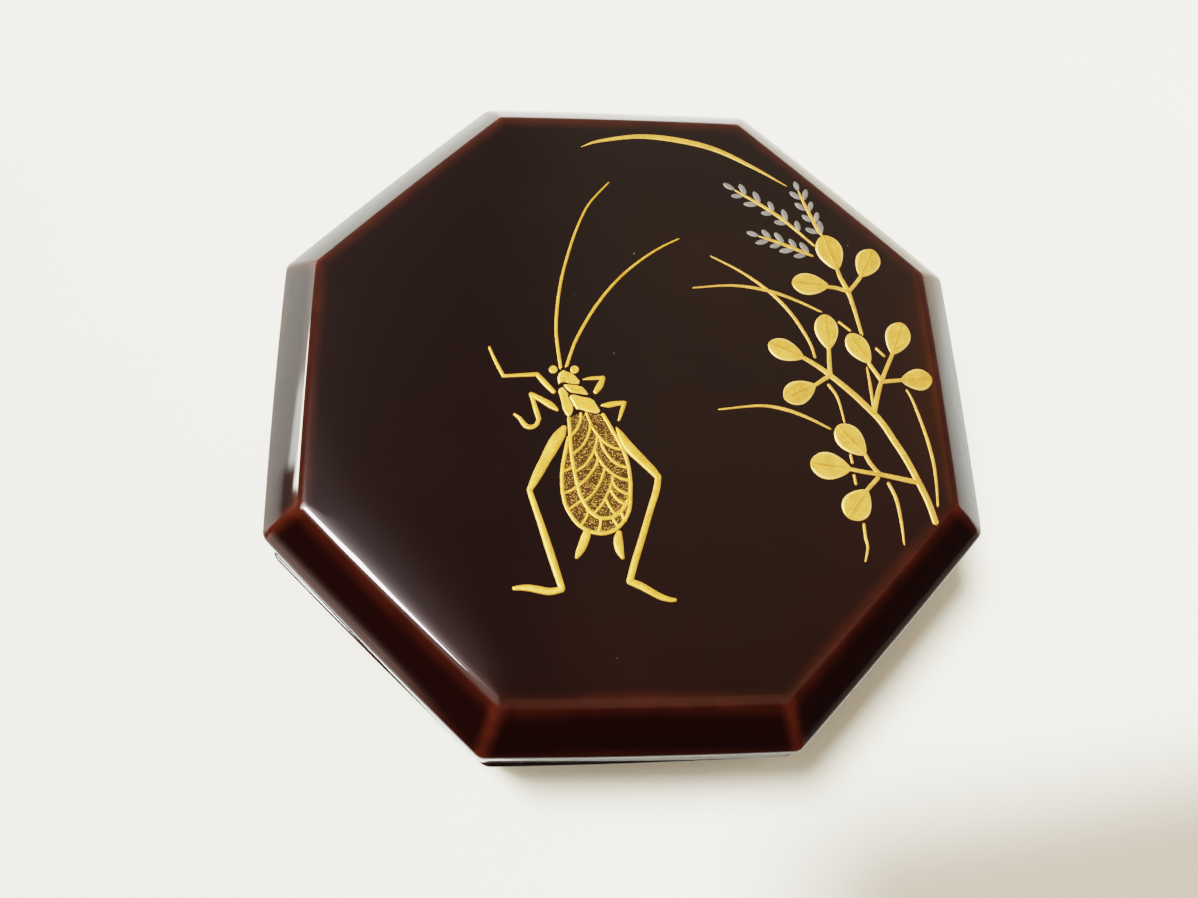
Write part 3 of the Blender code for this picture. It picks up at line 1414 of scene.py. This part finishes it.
@dataclass(frozen=True)
class Cricket:
    """A bell cricket seen from above, with its wings folded over its back."""

    line_rise: float = 0.13
    plate_rise: float = 0.14
    wing_rise: float = 0.03
    line_width: float = 0.42
    vein_width: float = 0.31
    plate_border: float = 0.22
    wing_border: float = 0.1
    left_eye: tuple[float, float, float] = (-8.05, 1.0, 0.45)
    right_eye: tuple[float, float, float] = (-5.85, 1.0, 0.46)

    def build(self, relief: Relief) -> list[bpy.types.Object]:
        """Lay the cricket on the lid.

        Args:
            relief: What raises lines, leaves and plates on the lid.

        Returns:
            Its pieces.
        """
        edge, fold = self.wing_outlines()
        back = [*edge, (-6.55, -5.4), (-6.4, -4.4), (-5.6, -3.9), (-4.2, -3.9)]
        wing = [stroke(line, self.line_width) for line in (edge, fold)]
        wing += [stroke(vein, self.vein_width) for vein in self.veins()]
        rise = self.line_rise
        return [
            relief.fill("cricket_back", [plate(back)], SparsePowder(), self.wing_rise, self.wing_border),
            relief.draw("cricket_wing_lines", wing, PALE_GOLD, rise * 0.9),
            relief.draw("cricket_legs", self.legs(), PALE_GOLD, rise),
            relief.draw("cricket_feelers", self.feelers(), PALE_GOLD, rise * 0.85),
            relief.fill("cricket_head", self.plates(), PALE_GOLD, self.plate_rise, self.plate_border),
        ]

    def feelers(self) -> list[Line]:
        """Draw two long feelers.

        Returns:
            The strokes.
        """
        left = ((-7.3, 1.4), (-7.65, 5.1), (-7.5, 8.2), (-7.0, 11.5), (-6.2, 14.7), (-5.15, 18.0))
        right = ((-6.65, 1.45), (-5.8, 3.95), (-4.6, 6.4), (-3.15, 8.8), (-1.5, 11.0), (0.25, 12.85))
        return [
            stroke((*left, (-3.75, 21.1), (-1.6, 23.8)), 0.38, 0.36, 0.3, 0.2),
            stroke((*right, (2.2, 14.5), (4.15, 15.85), (5.9, 16.8)), 0.36, 0.36, 0.3, 0.2),
        ]

    def legs(self) -> list[Line]:
        """Draw four small legs, two strong hind legs and two tail feelers, each part on its own.

        Returns:
            The strokes.
        """
        hooked = ((-12.1, -3.95), (-11.55, -4.4), (-11.0, -5.15), (-10.45, -5.4), (-9.9, -5.15), (-9.6, -4.5))
        left_thigh = ((-7.1, -5.45), (-7.4, -6.0), (-7.9, -6.8), (-8.5, -7.9), (-9.05, -8.95), (-9.6, -10.0))
        left_shin = ((-10.6, -12.1), (-10.3, -13.15), (-9.65, -15.2), (-9.05, -17.2), (-8.45, -19.2))
        left_foot = ((-7.65, -22.0), (-8.75, -22.2), (-9.7, -22.05), (-10.65, -21.85), (-11.5, -21.8))
        right_thigh = ((-1.8, -5.4), (-1.4, -6.15), (-0.95, -7.0), (-0.3, -7.9), (0.7, -9.0), (1.65, -10.05))
        right_shin = ((2.2, -10.8), (1.95, -12.15), (1.2, -14.3), (0.2, -17.3), (-0.5, -19.3), (-1.1, -21.3))
        right_foot = ((-1.1, -21.35), (-0.15, -21.75), (0.8, -22.3), (1.75, -22.85), (2.65, -23.15))
        left_tail = ((-5.1, -16.5), (-5.25, -16.9), (-5.55, -17.7), (-5.9, -18.4), (-6.15, -18.9))
        right_tail = ((-1.95, -16.5), (-2.05, -17.0), (-2.05, -17.6), (-1.95, -18.3), (-1.7, -19.0))
        return [
            stroke(((-14.6, 3.5), (-14.0, 2.0), (-13.15, 0.25)), 0.3, 0.37, 0.42),
            stroke(((-13.15, 0.25), (-11.45, 0.35), (-9.7, 0.45)), 0.4, 0.42, 0.5),
            stroke(((-9.7, 0.45), (-8.9, -0.55), (-8.05, -1.5)), 0.52, 0.62, 0.5),
            stroke(hooked, 0.26, 0.42, 0.56, 0.52, 0.47, 0.5),
            stroke(((-9.6, -4.5), (-9.85, -3.6), (-10.1, -2.7), (-10.35, -1.75)), 0.54, 0.56, 0.48, 0.48),
            stroke(((-10.35, -1.75), (-9.35, -2.35), (-8.35, -3.0), (-7.7, -3.55)), 0.48, 0.64, 0.74, 0.32),
            stroke(((-5.0, -0.1), (-4.25, 0.0), (-2.9, 0.1)), 0.16, 0.4, 0.45),
            stroke(((-2.9, 0.05), (-3.3, -0.8), (-3.75, -1.5)), 0.47, 0.72, 0.54),
            stroke(((-3.2, -3.0), (-2.5, -2.95), (-1.7, -2.8), (-0.85, -2.7)), 0.26, 0.64, 0.58, 0.46),
            stroke(((-0.85, -2.7), (-1.15, -3.65), (-1.5, -4.65)), 0.5, 0.44, 0.26),
            stroke((*left_thigh, (-10.1, -11.0), (-10.6, -12.0)), 0.6, 1.1, 1.32, 1.3, 1.13, 1.08, 0.9, 0.62),
            stroke((*left_shin, (-7.65, -21.9)), 0.58, 0.62, 0.68, 0.76, 0.78, 0.68),
            stroke((*left_foot, (-12.2, -21.85)), 0.64, 0.74, 0.76, 0.7, 0.58, 0.42),
            stroke((*right_thigh, (2.2, -10.75)), 0.15, 0.68, 1.0, 1.12, 1.0, 0.88, 0.7),
            stroke(right_shin, 0.68, 0.72, 0.68, 0.7, 0.72, 0.7),
            stroke((*right_foot, (3.2, -23.2)), 0.68, 0.76, 0.72, 0.64, 0.52, 0.38),
            stroke(left_tail, 0.85, 0.98, 0.86, 0.4),
            stroke(right_tail, 0.6, 1.0, 0.98, 0.4),
        ]

    def plates(self) -> list[Line]:
        """Draw a head with two eyes, and the shield behind it in three plates.

        Returns:
            The plates.
        """
        head = ((-7.55, -0.7), (-7.65, 0.05), (-7.5, 0.55), (-7.25, 0.8), (-7.0, 0.95), (-6.6, 0.75))
        head += ((-6.15, 0.6), (-5.75, 0.25), (-5.4, -0.2), (-5.35, -0.4), (-5.45, -0.65), (-6.35, -0.6))
        head += ((-6.85, -0.4), (-7.25, -0.5))
        collar = ((-7.1, -0.75), (-6.85, -0.65), (-6.15, -0.7), (-5.55, -0.8), (-5.1, -0.95), (-4.75, -1.35))
        collar += ((-4.5, -1.75), (-4.65, -1.85), (-5.35, -1.75), (-6.25, -1.6), (-6.65, -1.3))
        shield = ((-6.35, -1.85), (-5.95, -1.8), (-5.35, -2.0), (-4.85, -2.1), (-4.35, -2.2), (-3.95, -2.45))
        shield += ((-3.65, -3.05), (-3.35, -3.55), (-3.5, -3.85), (-3.85, -3.9), (-4.6, -3.75), (-5.3, -3.5))
        shield += ((-5.75, -3.45), (-6.0, -3.1), (-6.25, -2.6), (-6.5, -2.1))
        flank = ((-7.6, -1.45), (-7.5, -1.15), (-7.15, -0.95), (-6.85, -1.3), (-6.55, -1.75), (-6.6, -2.05))
        flank += ((-6.35, -2.55), (-6.15, -3.0), (-6.1, -3.45), (-6.2, -3.85), (-6.4, -4.15), (-6.65, -4.3))
        flank += ((-6.95, -3.9), (-7.2, -3.3), (-7.3, -2.55), (-7.45, -2.0))
        plates = [plate(outline, cornered=True) for outline in (head, collar, shield, flank)]
        return [*plates, disc(*self.left_eye), disc(*self.right_eye)]

    def wing_outlines(self) -> tuple[list[Point], list[Point]]:
        """Give the outlines of the folded wings.

        Returns:
            The outer edge, and the fold inside it.
        """
        edge = [(-3.1, -4.0), (-2.7, -4.75), (-2.2, -5.75), (-1.65, -6.85), (-1.1, -8.1), (-0.75, -9.5)]
        edge += [(-0.6, -11.1), (-0.65, -12.35), (-0.75, -13.7), (-1.05, -14.65), (-1.6, -15.5)]
        edge += [(-2.3, -16.15), (-3.2, -16.5), (-4.1, -16.5), (-5.15, -16.15), (-6.0, -15.5), (-6.7, -14.5)]
        edge += [(-7.15, -13.45), (-7.35, -12.35), (-7.4, -11.1), (-7.35, -10.0), (-7.15, -8.75)]
        edge += [(-6.9, -7.55), (-6.65, -6.5)]
        fold = [(-6.55, -4.4), (-6.5, -5.75), (-6.45, -7.35), (-6.35, -8.65), (-6.15, -10.05), (-5.9, -11.4)]
        fold += [(-5.65, -12.5), (-5.25, -13.45), (-4.85, -14.1), (-4.4, -14.6), (-3.8, -14.95)]
        fold += [(-3.15, -15.0), (-2.45, -14.85), (-1.8, -14.4), (-1.3, -13.8), (-0.85, -13.05)]
        return edge, fold

    def veins(self) -> list[list[Point]]:
        """Give a middle rib with curved veins on both sides, and cross veins between the fold and the edge.

        Returns:
            The veins' paths.
        """
        rib = [(-4.8, -3.8), (-4.5, -4.65), (-4.2, -5.45), (-3.75, -6.15), (-3.25, -6.8), (-2.7, -7.3)]
        long_left = [(-3.75, -8.7), (-3.95, -9.45), (-4.5, -10.3), (-5.15, -11.1), (-5.9, -11.7)]
        long_right = [(-4.05, -7.8), (-3.75, -8.65), (-3.3, -9.4), (-2.8, -10.0), (-2.15, -10.55)]
        left = [
            [(-5.35, -3.85), (-5.35, -4.55), (-5.6, -5.2), (-5.95, -5.85), (-6.4, -6.35)],
            [(-4.4, -5.1), (-4.55, -5.95), (-4.9, -6.8), (-5.45, -7.6), (-6.35, -8.35)],
            [(-3.7, -6.15), (-3.85, -7.05), (-4.1, -7.9), (-4.55, -8.75), (-5.15, -9.55), (-6.15, -10.2)],
            [*long_left, (-6.6, -12.15), (-7.3, -12.4)],
            [(-3.05, -9.65), (-3.3, -10.45), (-3.6, -11.25), (-4.1, -12.1), (-4.7, -12.8), (-5.4, -13.35)],
            [(-2.3, -10.5), (-2.4, -11.2), (-2.65, -11.9), (-3.05, -12.7), (-3.55, -13.6), (-4.4, -14.6)],
        ]
        right = [
            [*rib, (-2.05, -7.65), (-1.3, -7.85)],
            [(-3.45, -6.6), (-3.3, -7.4), (-2.9, -8.2), (-2.35, -8.95), (-1.65, -9.5), (-0.8, -9.8)],
            [*long_right, (-1.4, -10.95), (-0.7, -11.1)],
            [(-2.4, -11.2), (-2.05, -11.8), (-1.45, -12.3), (-0.75, -12.6)],
            [(-2.7, -11.95), (-2.45, -12.4), (-2.1, -12.95), (-1.6, -13.4), (-1.2, -13.6)],
            [(-3.15, -12.95), (-2.85, -13.65), (-2.45, -14.3), (-2.1, -14.65)],
        ]
        band = [
            [(-7.3, -10.15), (-6.85, -9.95), (-6.25, -9.6)],
            [(-5.6, -13.2), (-6.15, -13.6), (-6.85, -14.1)],
            [(-4.85, -14.2), (-5.1, -14.9), (-5.65, -15.75)],
            [(-3.7, -14.95), (-3.75, -15.7), (-4.0, -16.45)],
            [(-2.55, -14.9), (-2.3, -15.4), (-1.9, -15.95)],
            [(-1.65, -14.4), (-1.5, -14.9), (-1.25, -15.3)],
        ]
        return [*left, *right, *band]


@dataclass(frozen=True)
class BushClover:
    """Sprays of round leaves in threes, on thin stems. A leaf has a foot, a tip and a width."""

    leaf_rise: float = 0.15
    stem_rise: float = 0.11
    belly: float = 1.32
    fullness: float = 0.52
    leaves: tuple[tuple[Point, Point, float], ...] = (
        ((23.4, 13.2), (22.3, 17.6), 3.06),
        ((25.9, 12.4), (27.8, 15.9), 2.80),
        ((22.2, 11.2), (18.1, 11.6), 2.71),
        ((21.3, 3.5), (21.3, 7.7), 2.63),
        ((18.5, 2.5), (14.8, 4.2), 2.50),
        ((19.4, -0.6), (15.9, -2.2), 2.71),
        ((25.6, 1.9), (23.7, 5.4), 2.48),
        ((28.2, 3.0), (29.8, 6.8), 2.81),
        ((28.7, 0.0), (32.2, 0.2), 2.51),
        ((23.8, -8.5), (21.2, -5.2), 2.88),
        ((22.1, -10.0), (17.9, -9.3), 3.00),
        ((23.5, -12.2), (21.2, -15.2), 3.04),
    )

    def build(self, relief: Relief) -> list[bpy.types.Object]:
        """Lay the sprays on the lid.

        Args:
            relief: What raises lines, leaves and plates on the lid.

        Returns:
            The stems and the leaves.
        """
        leaves = [self._leaf(*leaf) for leaf in self.leaves]
        sizes = {"Belly": self.belly, "Fullness": self.fullness}
        return [
            relief.draw("clover_stems", self.stems(), WARM_GOLD, self.stem_rise),
            relief.raise_lines(relief.leaves, "clover_leaves", leaves, LEAF_GOLD, self.leaf_rise, **sizes),
        ]

    def _leaf(self, foot: Point, tip: Point, width: float) -> Line:
        """Place one leaf.

        Args:
            foot: Its foot.
            tip: Its tip.
            width: Its width.

        Returns:
            The point that the leaf stands on.
        """
        foot, tip = on_lid([foot, tip])
        angle = math.atan2(tip[1] - foot[1], tip[0] - foot[0])
        return Line([foot], {"angle": angle, "length": math.dist(foot, tip) * MM, "width": width * MM})

    def stems(self) -> list[Line]:
        """Draw the main stem, the branches and the leaf stalks.

        Returns:
            The strokes.
        """
        main = ((18.5, 2.5), (19.8, 1.6), (21.1, 0.5), (22.9, -1.2), (24.2, -2.6), (25.9, -4.7), (27.0, -6.8))
        main += ((28.0, -8.8), (28.9, -11.1), (29.7, -13.4), (30.2, -15.6))
        return [
            stroke(main, 0.5, 0.7, 0.75, 0.7),
            stroke(((23.4, 13.2), (23.6, 12.3), (24.2, 10.7), (24.6, 8.9), (25.1, 5.6)), 0.45, 0.55, 0.4),
            stroke(((25.9, 12.4), (25.0, 11.3), (24.2, 10.4)), 0.45, 0.5),
            stroke(((22.1, 11.1), (22.9, 11.0), (24.2, 10.6)), 0.45, 0.5),
            stroke(((21.3, 3.5), (21.2, 2.2), (21.1, 0.6)), 0.45, 0.55),
            stroke(((19.4, -0.6), (20.3, 0.0), (21.0, 0.4)), 0.45, 0.55),
            stroke(((25.3, -3.8), (26.0, -1.6), (26.6, -0.1)), 0.6, 0.5),
            stroke(((25.5, 1.9), (26.0, 1.0), (26.6, -0.1)), 0.45, 0.5),
            stroke(((28.2, 3.0), (27.3, 1.3), (26.6, -0.1)), 0.45, 0.5),
            stroke(((28.7, 0.0), (27.6, -0.1), (26.6, -0.2)), 0.45, 0.5),
            stroke(((28.9, -11.4), (27.0, -11.0), (24.9, -10.5)), 0.6, 0.5),
            stroke(((23.8, -8.5), (24.2, -9.4), (24.9, -10.4)), 0.45, 0.5),
            stroke(((22.1, -10.0), (23.5, -10.3), (24.9, -10.5)), 0.45, 0.5),
            stroke(((23.5, -12.2), (24.1, -11.6), (24.8, -10.9)), 0.45, 0.5),
        ]


@dataclass(frozen=True)
class Grasses:
    """Thin blades of grass, and the arc of a low moon at the top of the picture."""

    blade_rise: float = 0.10
    moon_rise: float = 0.08

    def build(self, relief: Relief) -> list[bpy.types.Object]:
        """Lay the grasses and the arc on the lid.

        Args:
            relief: What raises lines, leaves and plates on the lid.

        Returns:
            Their pieces.
        """
        arc = ((-4.2, 28.8), (-2.2, 29.6), (2.2, 30.35), (6.5, 30.0), (10.9, 28.8), (15.1, 26.5))
        moon = [stroke((*arc, (18.6, 24.2)), 0.12, 0.55, 0.75, 0.6, 0.12)]
        return [
            relief.draw("grass_blades", self.blades(), WARM_GOLD, self.blade_rise),
            relief.draw("moon_arc", moon, WARM_GOLD, self.moon_rise),
        ]

    def blades(self) -> list[Line]:
        """Draw the blades.

        Returns:
            The strokes, from tip to root.
        """
        crossing = ((9.6, 14.6), (12.6, 12.8), (15.4, 10.5), (17.6, 7.8), (19.2, 4.6), (19.7, 2.6))
        long_blade = ((29.2, -1.1), (29.7, -2.4), (30.5, -5.9), (30.9, -8.9), (30.9, -11.3), (30.7, -13.8))
        return [
            stroke(crossing, 0.2, 0.42, 0.3),
            stroke(((7.5, 10.8), (11.6, 11.1), (15.4, 10.5), (18.3, 9.4), (20.8, 8.1)), 0.2, 0.42, 0.25),
            stroke(((9.2, -3.4), (13.2, -3.0), (15.8, -3.4), (18.1, -4.3), (20.3, -5.5)), 0.2, 0.42, 0.25),
            stroke(((20.8, -0.6), (21.6, -2.1), (22.0, -4.7)), 0.35, 0.3, 0.2),
            stroke(((25.2, 1.4), (25.3, -0.6), (25.3, -3.0)), 0.2, 0.35, 0.3),
            stroke(long_blade, 0.2, 0.4, 0.25),
            stroke(((25.8, -11.5), (26.4, -13.2), (26.6, -15.5), (26.6, -17.8)), 0.35, 0.4, 0.2),
            stroke(((22.7, -15.8), (22.7, -17.2), (22.8, -18.2), (22.4, -19.6)), 0.3, 0.35, 0.2),
            stroke(((22.8, 6.8), (23.9, 5.8)), 0.3),
            stroke(((26.5, 3.7), (27.3, 2.8)), 0.3),
            stroke(((22.2, -8.4), (22.3, -9.3)), 0.3),
            stroke(((22.3, -10.6), (22.4, -11.6)), 0.3),
        ]


@dataclass(frozen=True)
class SilverSpikes:
    """Three flower spikes with florets in two rows, silver on gold stems."""

    stem_rise: float = 0.10
    floret_rise: float = 0.13
    floret_length: float = 1.50
    floret_width: float = 0.68
    floret_spacing: float = 1.47
    splay: float = 31.0
    gap: float = 0.2
    belly: float = 1.15
    fullness: float = 0.55
    reaches: tuple[Point, ...] = ((8.6, 7.0), (5.8, 5.6), (6.0, 5.8))
    seed: int = 7

    def build(self, relief: Relief) -> list[bpy.types.Object]:
        """Lay the spikes on the lid.

        Args:
            relief: What raises lines, leaves and plates on the lid.

        Returns:
            The stems and the florets.
        """
        paths = self.paths()
        stems = [stroke(path, 0.2, 0.4, 0.46, 0.26) for path in paths]
        rows = [
            Line(on_lid(path), {"right_reach": right * MM, "left_reach": left * MM})
            for path, (right, left) in zip(paths, self.reaches)
        ]
        sizes = {"Spacing": self.floret_spacing * MM, "Length": self.floret_length * MM, "Gap": self.gap * MM}
        sizes |= {"Width": self.floret_width * MM, "Splay": math.radians(self.splay), "Seed": self.seed}
        sizes |= {"Belly": self.belly, "Fullness": self.fullness}
        rise = self.floret_rise
        return [
            relief.draw("spike_stems", stems, WARM_GOLD, self.stem_rise),
            relief.raise_lines(relief.spikes, "spike_florets", rows, SILVER, rise, Slot.SILVER, **sizes),
        ]

    def paths(self) -> list[Sequence[Point]]:
        """Give the stems' paths.

        Returns:
            The paths from tip to root.
        """
        first = ((12.8, 23.3), (13.9, 22.55), (15.1, 21.75), (16.4, 20.8), (17.7, 19.75), (18.9, 18.6))
        return [
            (*first, (21.0, 16.4)),
            ((15.0, 17.35), (15.8, 17.05), (17.2, 16.55), (18.6, 15.95), (20.0, 15.3), (20.8, 14.95)),
            ((20.1, 23.45), (20.4, 22.3), (20.85, 20.95), (21.35, 19.5), (21.8, 18.2), (22.2, 17.6)),
        ]


# The studio. Its azimuths are counted from +X to +Y, and its angles are degrees.


def direction(azimuth: float, elevation: float) -> Vector:
    """Point from the box towards an azimuth and an elevation."""
    turn, rise = math.radians(azimuth), math.radians(elevation)
    return Vector((math.cos(rise) * math.cos(turn), math.cos(rise) * math.sin(turn), math.sin(rise)))


@dataclass(frozen=True)
class Studio:
    """A pale floor, a soft light above, a window at the left, a dim room and the camera."""

    floor_radius: float = 320.0
    floor_level: float = -0.02
    camera_place: tuple[float, float, float] = (-12.93, -44.84, 117.66)
    camera_target: tuple[float, float, float] = (-3.63, -7.55, 19.66)
    camera_roll: float = 13.29
    camera_lens: float = 31.493
    sensor_width: float = 36.0
    window_azimuth: float = 184.0
    window_elevation: float = 64.0
    window_width: float = 13.0
    window_height: float = 18.0
    window_brightness: float = 76.0
    window_distance: float = 550.0
    window_colour: Colour = (1.0, 0.99, 0.97)
    overhead_strength: float = 7.8
    overhead_azimuth: float = 152.5
    overhead_elevation: float = 66.5
    overhead_spread: float = 18.0
    overhead_colour: Colour = (0.985, 0.995, 0.98)
    glow_azimuth: float = 192.0
    glow_elevation: float = 60.0
    glow_strengths: Point = (2.1, 14.0)
    glow_tint: Colour = (1.0, 0.95, 0.97)
    back_wall: float = 0.42
    room_tint: Colour = (1.0, 0.88, 0.80)
    right_tint: Colour = (0.93, 0.95, 0.75)
    corner_tint: Colour = (1.0, 0.62, 0.35)
    streak_tint: Colour = (0.95, 0.99, 0.93)
    line_tint: Colour = (1.0, 0.97, 0.72)
    fill_colour: Colour = (1.0, 0.85, 0.72)
    fill_strength: float = 0.70
    backdrop_colour: Colour = (1.0, 0.99, 0.945)
    backdrop_strength: float = 2.35

    def build(self) -> None:
        """Set up the floor, the lights, the camera and the tone of the picture."""
        self._lay_floor()
        self._hang_window()
        self._light_from_above()
        self._dim_room()
        self._place_camera()
        view = bpy.context.scene.view_settings
        view.view_transform = "Filmic"
        view.look = "High Contrast"

    def _lay_floor(self) -> None:
        """Lay the pale floor."""
        angles = [math.radians(3 * number) for number in range(120)]
        radius, level = self.floor_radius * MM, self.floor_level * MM
        border = [(radius * math.cos(angle), radius * math.sin(angle), level) for angle in angles]
        mesh = bpy.data.meshes.new("studio_floor")
        mesh.from_pydata(border, [], [range(len(border))])
        mesh.materials.append(StudioCloth().material("studio_floor_finish"))
        self._add("studio_floor", mesh)

    def _add(self, name: str, data: bpy.types.ID) -> bpy.types.Object:
        """Add an object to the scene.

        Args:
            name: Its name.
            data: Its mesh, light or camera.

        Returns:
            The object.
        """
        made = bpy.data.objects.new(name, data)
        bpy.context.scene.collection.objects.link(made)
        return made

    def _hang_window(self) -> None:
        """Hang a rectangular light that faces the box and is mirrored in the lacquer."""
        lamp = bpy.data.lights.new("window_light", "AREA")
        lamp.shape = "RECTANGLE"
        lamp.size = 2 * self.window_distance * MM * math.tan(math.radians(self.window_width / 2))
        lamp.size_y = 2 * self.window_distance * MM * math.tan(math.radians(self.window_height / 2))
        lamp.energy = self.window_brightness * math.pi * lamp.size * lamp.size_y
        lamp.color = self.window_colour
        light = self._add("window_light", lamp)
        way = direction(self.window_azimuth, self.window_elevation)
        light.location = way * self.window_distance * MM
        light.rotation_euler = way.to_track_quat("Z", "Y").to_euler()
        light.visible_diffuse = False

    def _light_from_above(self) -> None:
        """Hang a broad soft light nearly overhead, which the polished lacquer doesn't mirror."""
        lamp = bpy.data.lights.new("overhead_light", "SUN")
        lamp.energy = self.overhead_strength
        lamp.angle = math.radians(self.overhead_spread)
        lamp.color = self.overhead_colour
        light = self._add("overhead_light", lamp)
        way = direction(self.overhead_azimuth, self.overhead_elevation)
        light.rotation_euler = way.to_track_quat("Z", "Y").to_euler()
        light.visible_glossy = False

    def _dim_room(self) -> None:
        """Make the room behind the lights: dim, brighter at the back, with a soft glow round the window."""
        world = bpy.data.worlds.new("room")
        world.use_nodes = True
        world.node_tree.nodes.clear()
        bench = PaintBench(world.node_tree)
        x, y, z = bench.parts(bench.make("ShaderNodeTexCoord", output="Generated"))
        left, front = -x, -y
        glow = self._window_glow(x, y, z)
        ceiling = y.falling(-0.03, -0.015) * z.rising(0.45, 0.75) * 0.25
        right = x.rising(-0.05, 0.12) * z.rising(0.5, 0.75)
        corner = x.rising(0.36, 0.5) * y.rising(0.2, 0.35) * z.rising(0.6, 0.75)
        streak = self._side_streak(x, y, z)
        low = left.rising(0.5, 0.75) * front.rising(0.2, 0.4) * front.falling(0.54, 0.64)
        low = low * z.falling(-0.09, 0.02) * 2.2
        tone = 0.05 + y.rising(-0.1, 0.7) * self.back_wall + glow + ceiling
        tone = tone + right * 0.2 + corner * 0.4 + streak + low
        tint = bench.mix(right, self.room_tint, self.right_tint)
        tint = bench.mix(corner, tint, self.corner_tint)
        tint = bench.mix(glow.held(), tint, self.glow_tint)
        tint = bench.mix(streak.held(), tint, self.streak_tint)
        tint = bench.mix(streak.rising(10.0, 20.0), tint, self.line_tint)

        kind = "ShaderNodeBackground"
        mirrored = bench.make(kind, Color=tint, Strength=tone)
        fill = bench.make(kind, Color=_solid(self.fill_colour), Strength=self.fill_strength)
        backdrop = bench.make(kind, Color=_solid(self.backdrop_colour), Strength=self.backdrop_strength)
        rays = bench.node("ShaderNodeLightPath")
        soft = bench.make("ShaderNodeMixShader", bench.out(rays, "Is Diffuse Ray"), mirrored, fill)
        room = bench.make("ShaderNodeMixShader", bench.out(rays, "Is Camera Ray"), soft, backdrop)
        bench.node("ShaderNodeOutputWorld", Surface=room)
        bpy.context.scene.world = world

    def _window_glow(self, x: Wire, y: Wire, z: Wire) -> Wire:
        """Tell how brightly the haze round the window shines along a ray.

        Args:
            x: The ray's direction to the right.
            y: Its direction towards the back.
            z: Its direction upwards.

        Returns:
            The radiance.
        """
        way = direction(self.glow_azimuth, self.glow_elevation)
        near = x * way.x + y * way.y + z * way.z
        aside = (y * way.x - x * way.y) / math.cos(math.radians(self.glow_elevation))
        wide, narrow = self.glow_strengths
        glow = near.rising(0.84, 0.995) * wide + near.rising(0.90, 0.99) * narrow
        glow = glow * (1.0 - aside.rising(-0.12, 0.03) * 0.94)
        return glow + (-x).rising(0.0, 0.3) * z.rising(0.6, 0.9) * 0.22

    def _side_streak(self, x: Wire, y: Wire, z: Wire) -> Wire:
        """Tell how brightly a slanted opening at the left side of the room shines along a ray.

        Args:
            x: The ray's direction to the right.
            y: Its direction towards the back.
            z: Its direction upwards.

        Returns:
            The radiance: a pale horizon, a broad patch that ends in a slant, and a thin bright line above.
        """
        left = -x
        back = y / left.at_least(0.01)
        open_side = left.rising(0.3, 0.5) * back.rising(0.335, 0.355)
        horizon = z.falling(0.08, 0.16) * back.falling(0.9, 1.3) * (1.7 + z.rising(-0.10, 0.02) * 1.0)
        slats = 0.85 + (z * 260.0).sine() * 0.15
        patch = (z - back * 0.35 + 0.233).rising(-0.016, 0.022)
        patch = patch * back.falling(0.42, 0.47) * z.falling(0.00, 0.05)
        line = (z - back * 0.6 + 0.26).rising(0.0, 0.05) * z.falling(0.13, 0.19) * left.rising(0.3, 0.5)
        line = line * (back.falling(0.48, 0.54) * 32.0 + back.falling(0.60, 0.75) * 2.0)
        line = line * back.rising(0.312, 0.325)
        return (horizon + patch * slats * 6.5) * open_side + line

    def _place_camera(self) -> None:
        """Place the camera at the photograph's angle."""
        place = Vector(self.camera_place) * MM
        ahead = (Vector(self.camera_target) * MM - place).normalized()
        level = ahead.cross(Vector((0.0, 0.0, 1.0))).normalized()
        upright = level.cross(ahead)
        cosine, sine = math.cos(math.radians(self.camera_roll)), math.sin(math.radians(self.camera_roll))
        right, up = level * cosine + upright * sine, upright * cosine - level * sine
        lens = bpy.data.cameras.new("photo_camera")
        lens.lens = self.camera_lens
        lens.sensor_width = self.sensor_width
        lens.clip_start = 5 * MM
        camera = self._add("photo_camera", lens)
        turned = Matrix((right, up, -ahead)).transposed().to_4x4()
        turned.translation = place
        camera.matrix_world = turned
        bpy.context.scene.camera = camera


def write_sizes() -> None:
    """Bring the view layer up to date."""
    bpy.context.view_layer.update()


def main() -> None:
    """Build the box, its picture and the studio, and report each piece."""
    logging.basicConfig(level=logging.INFO, format="%(name)s: %(message)s")
    turning = TurnedShape()
    lid = Lid().build(turning)
    pieces = [lid, Body().build(turning)]
    relief = Relief(lid, StrokeShape(), PlateShape(), LeafShape(), SpikeShape())
    for part in (Cricket(), BushClover(), Grasses(), SilverSpikes()):
        pieces += part.build(relief)
    for piece in pieces:
        log.info("%s: %d faces", piece.name, len(piece.data.polygons))
    Studio().build()
    write_sizes()


if __name__ == "__main__":
    main()
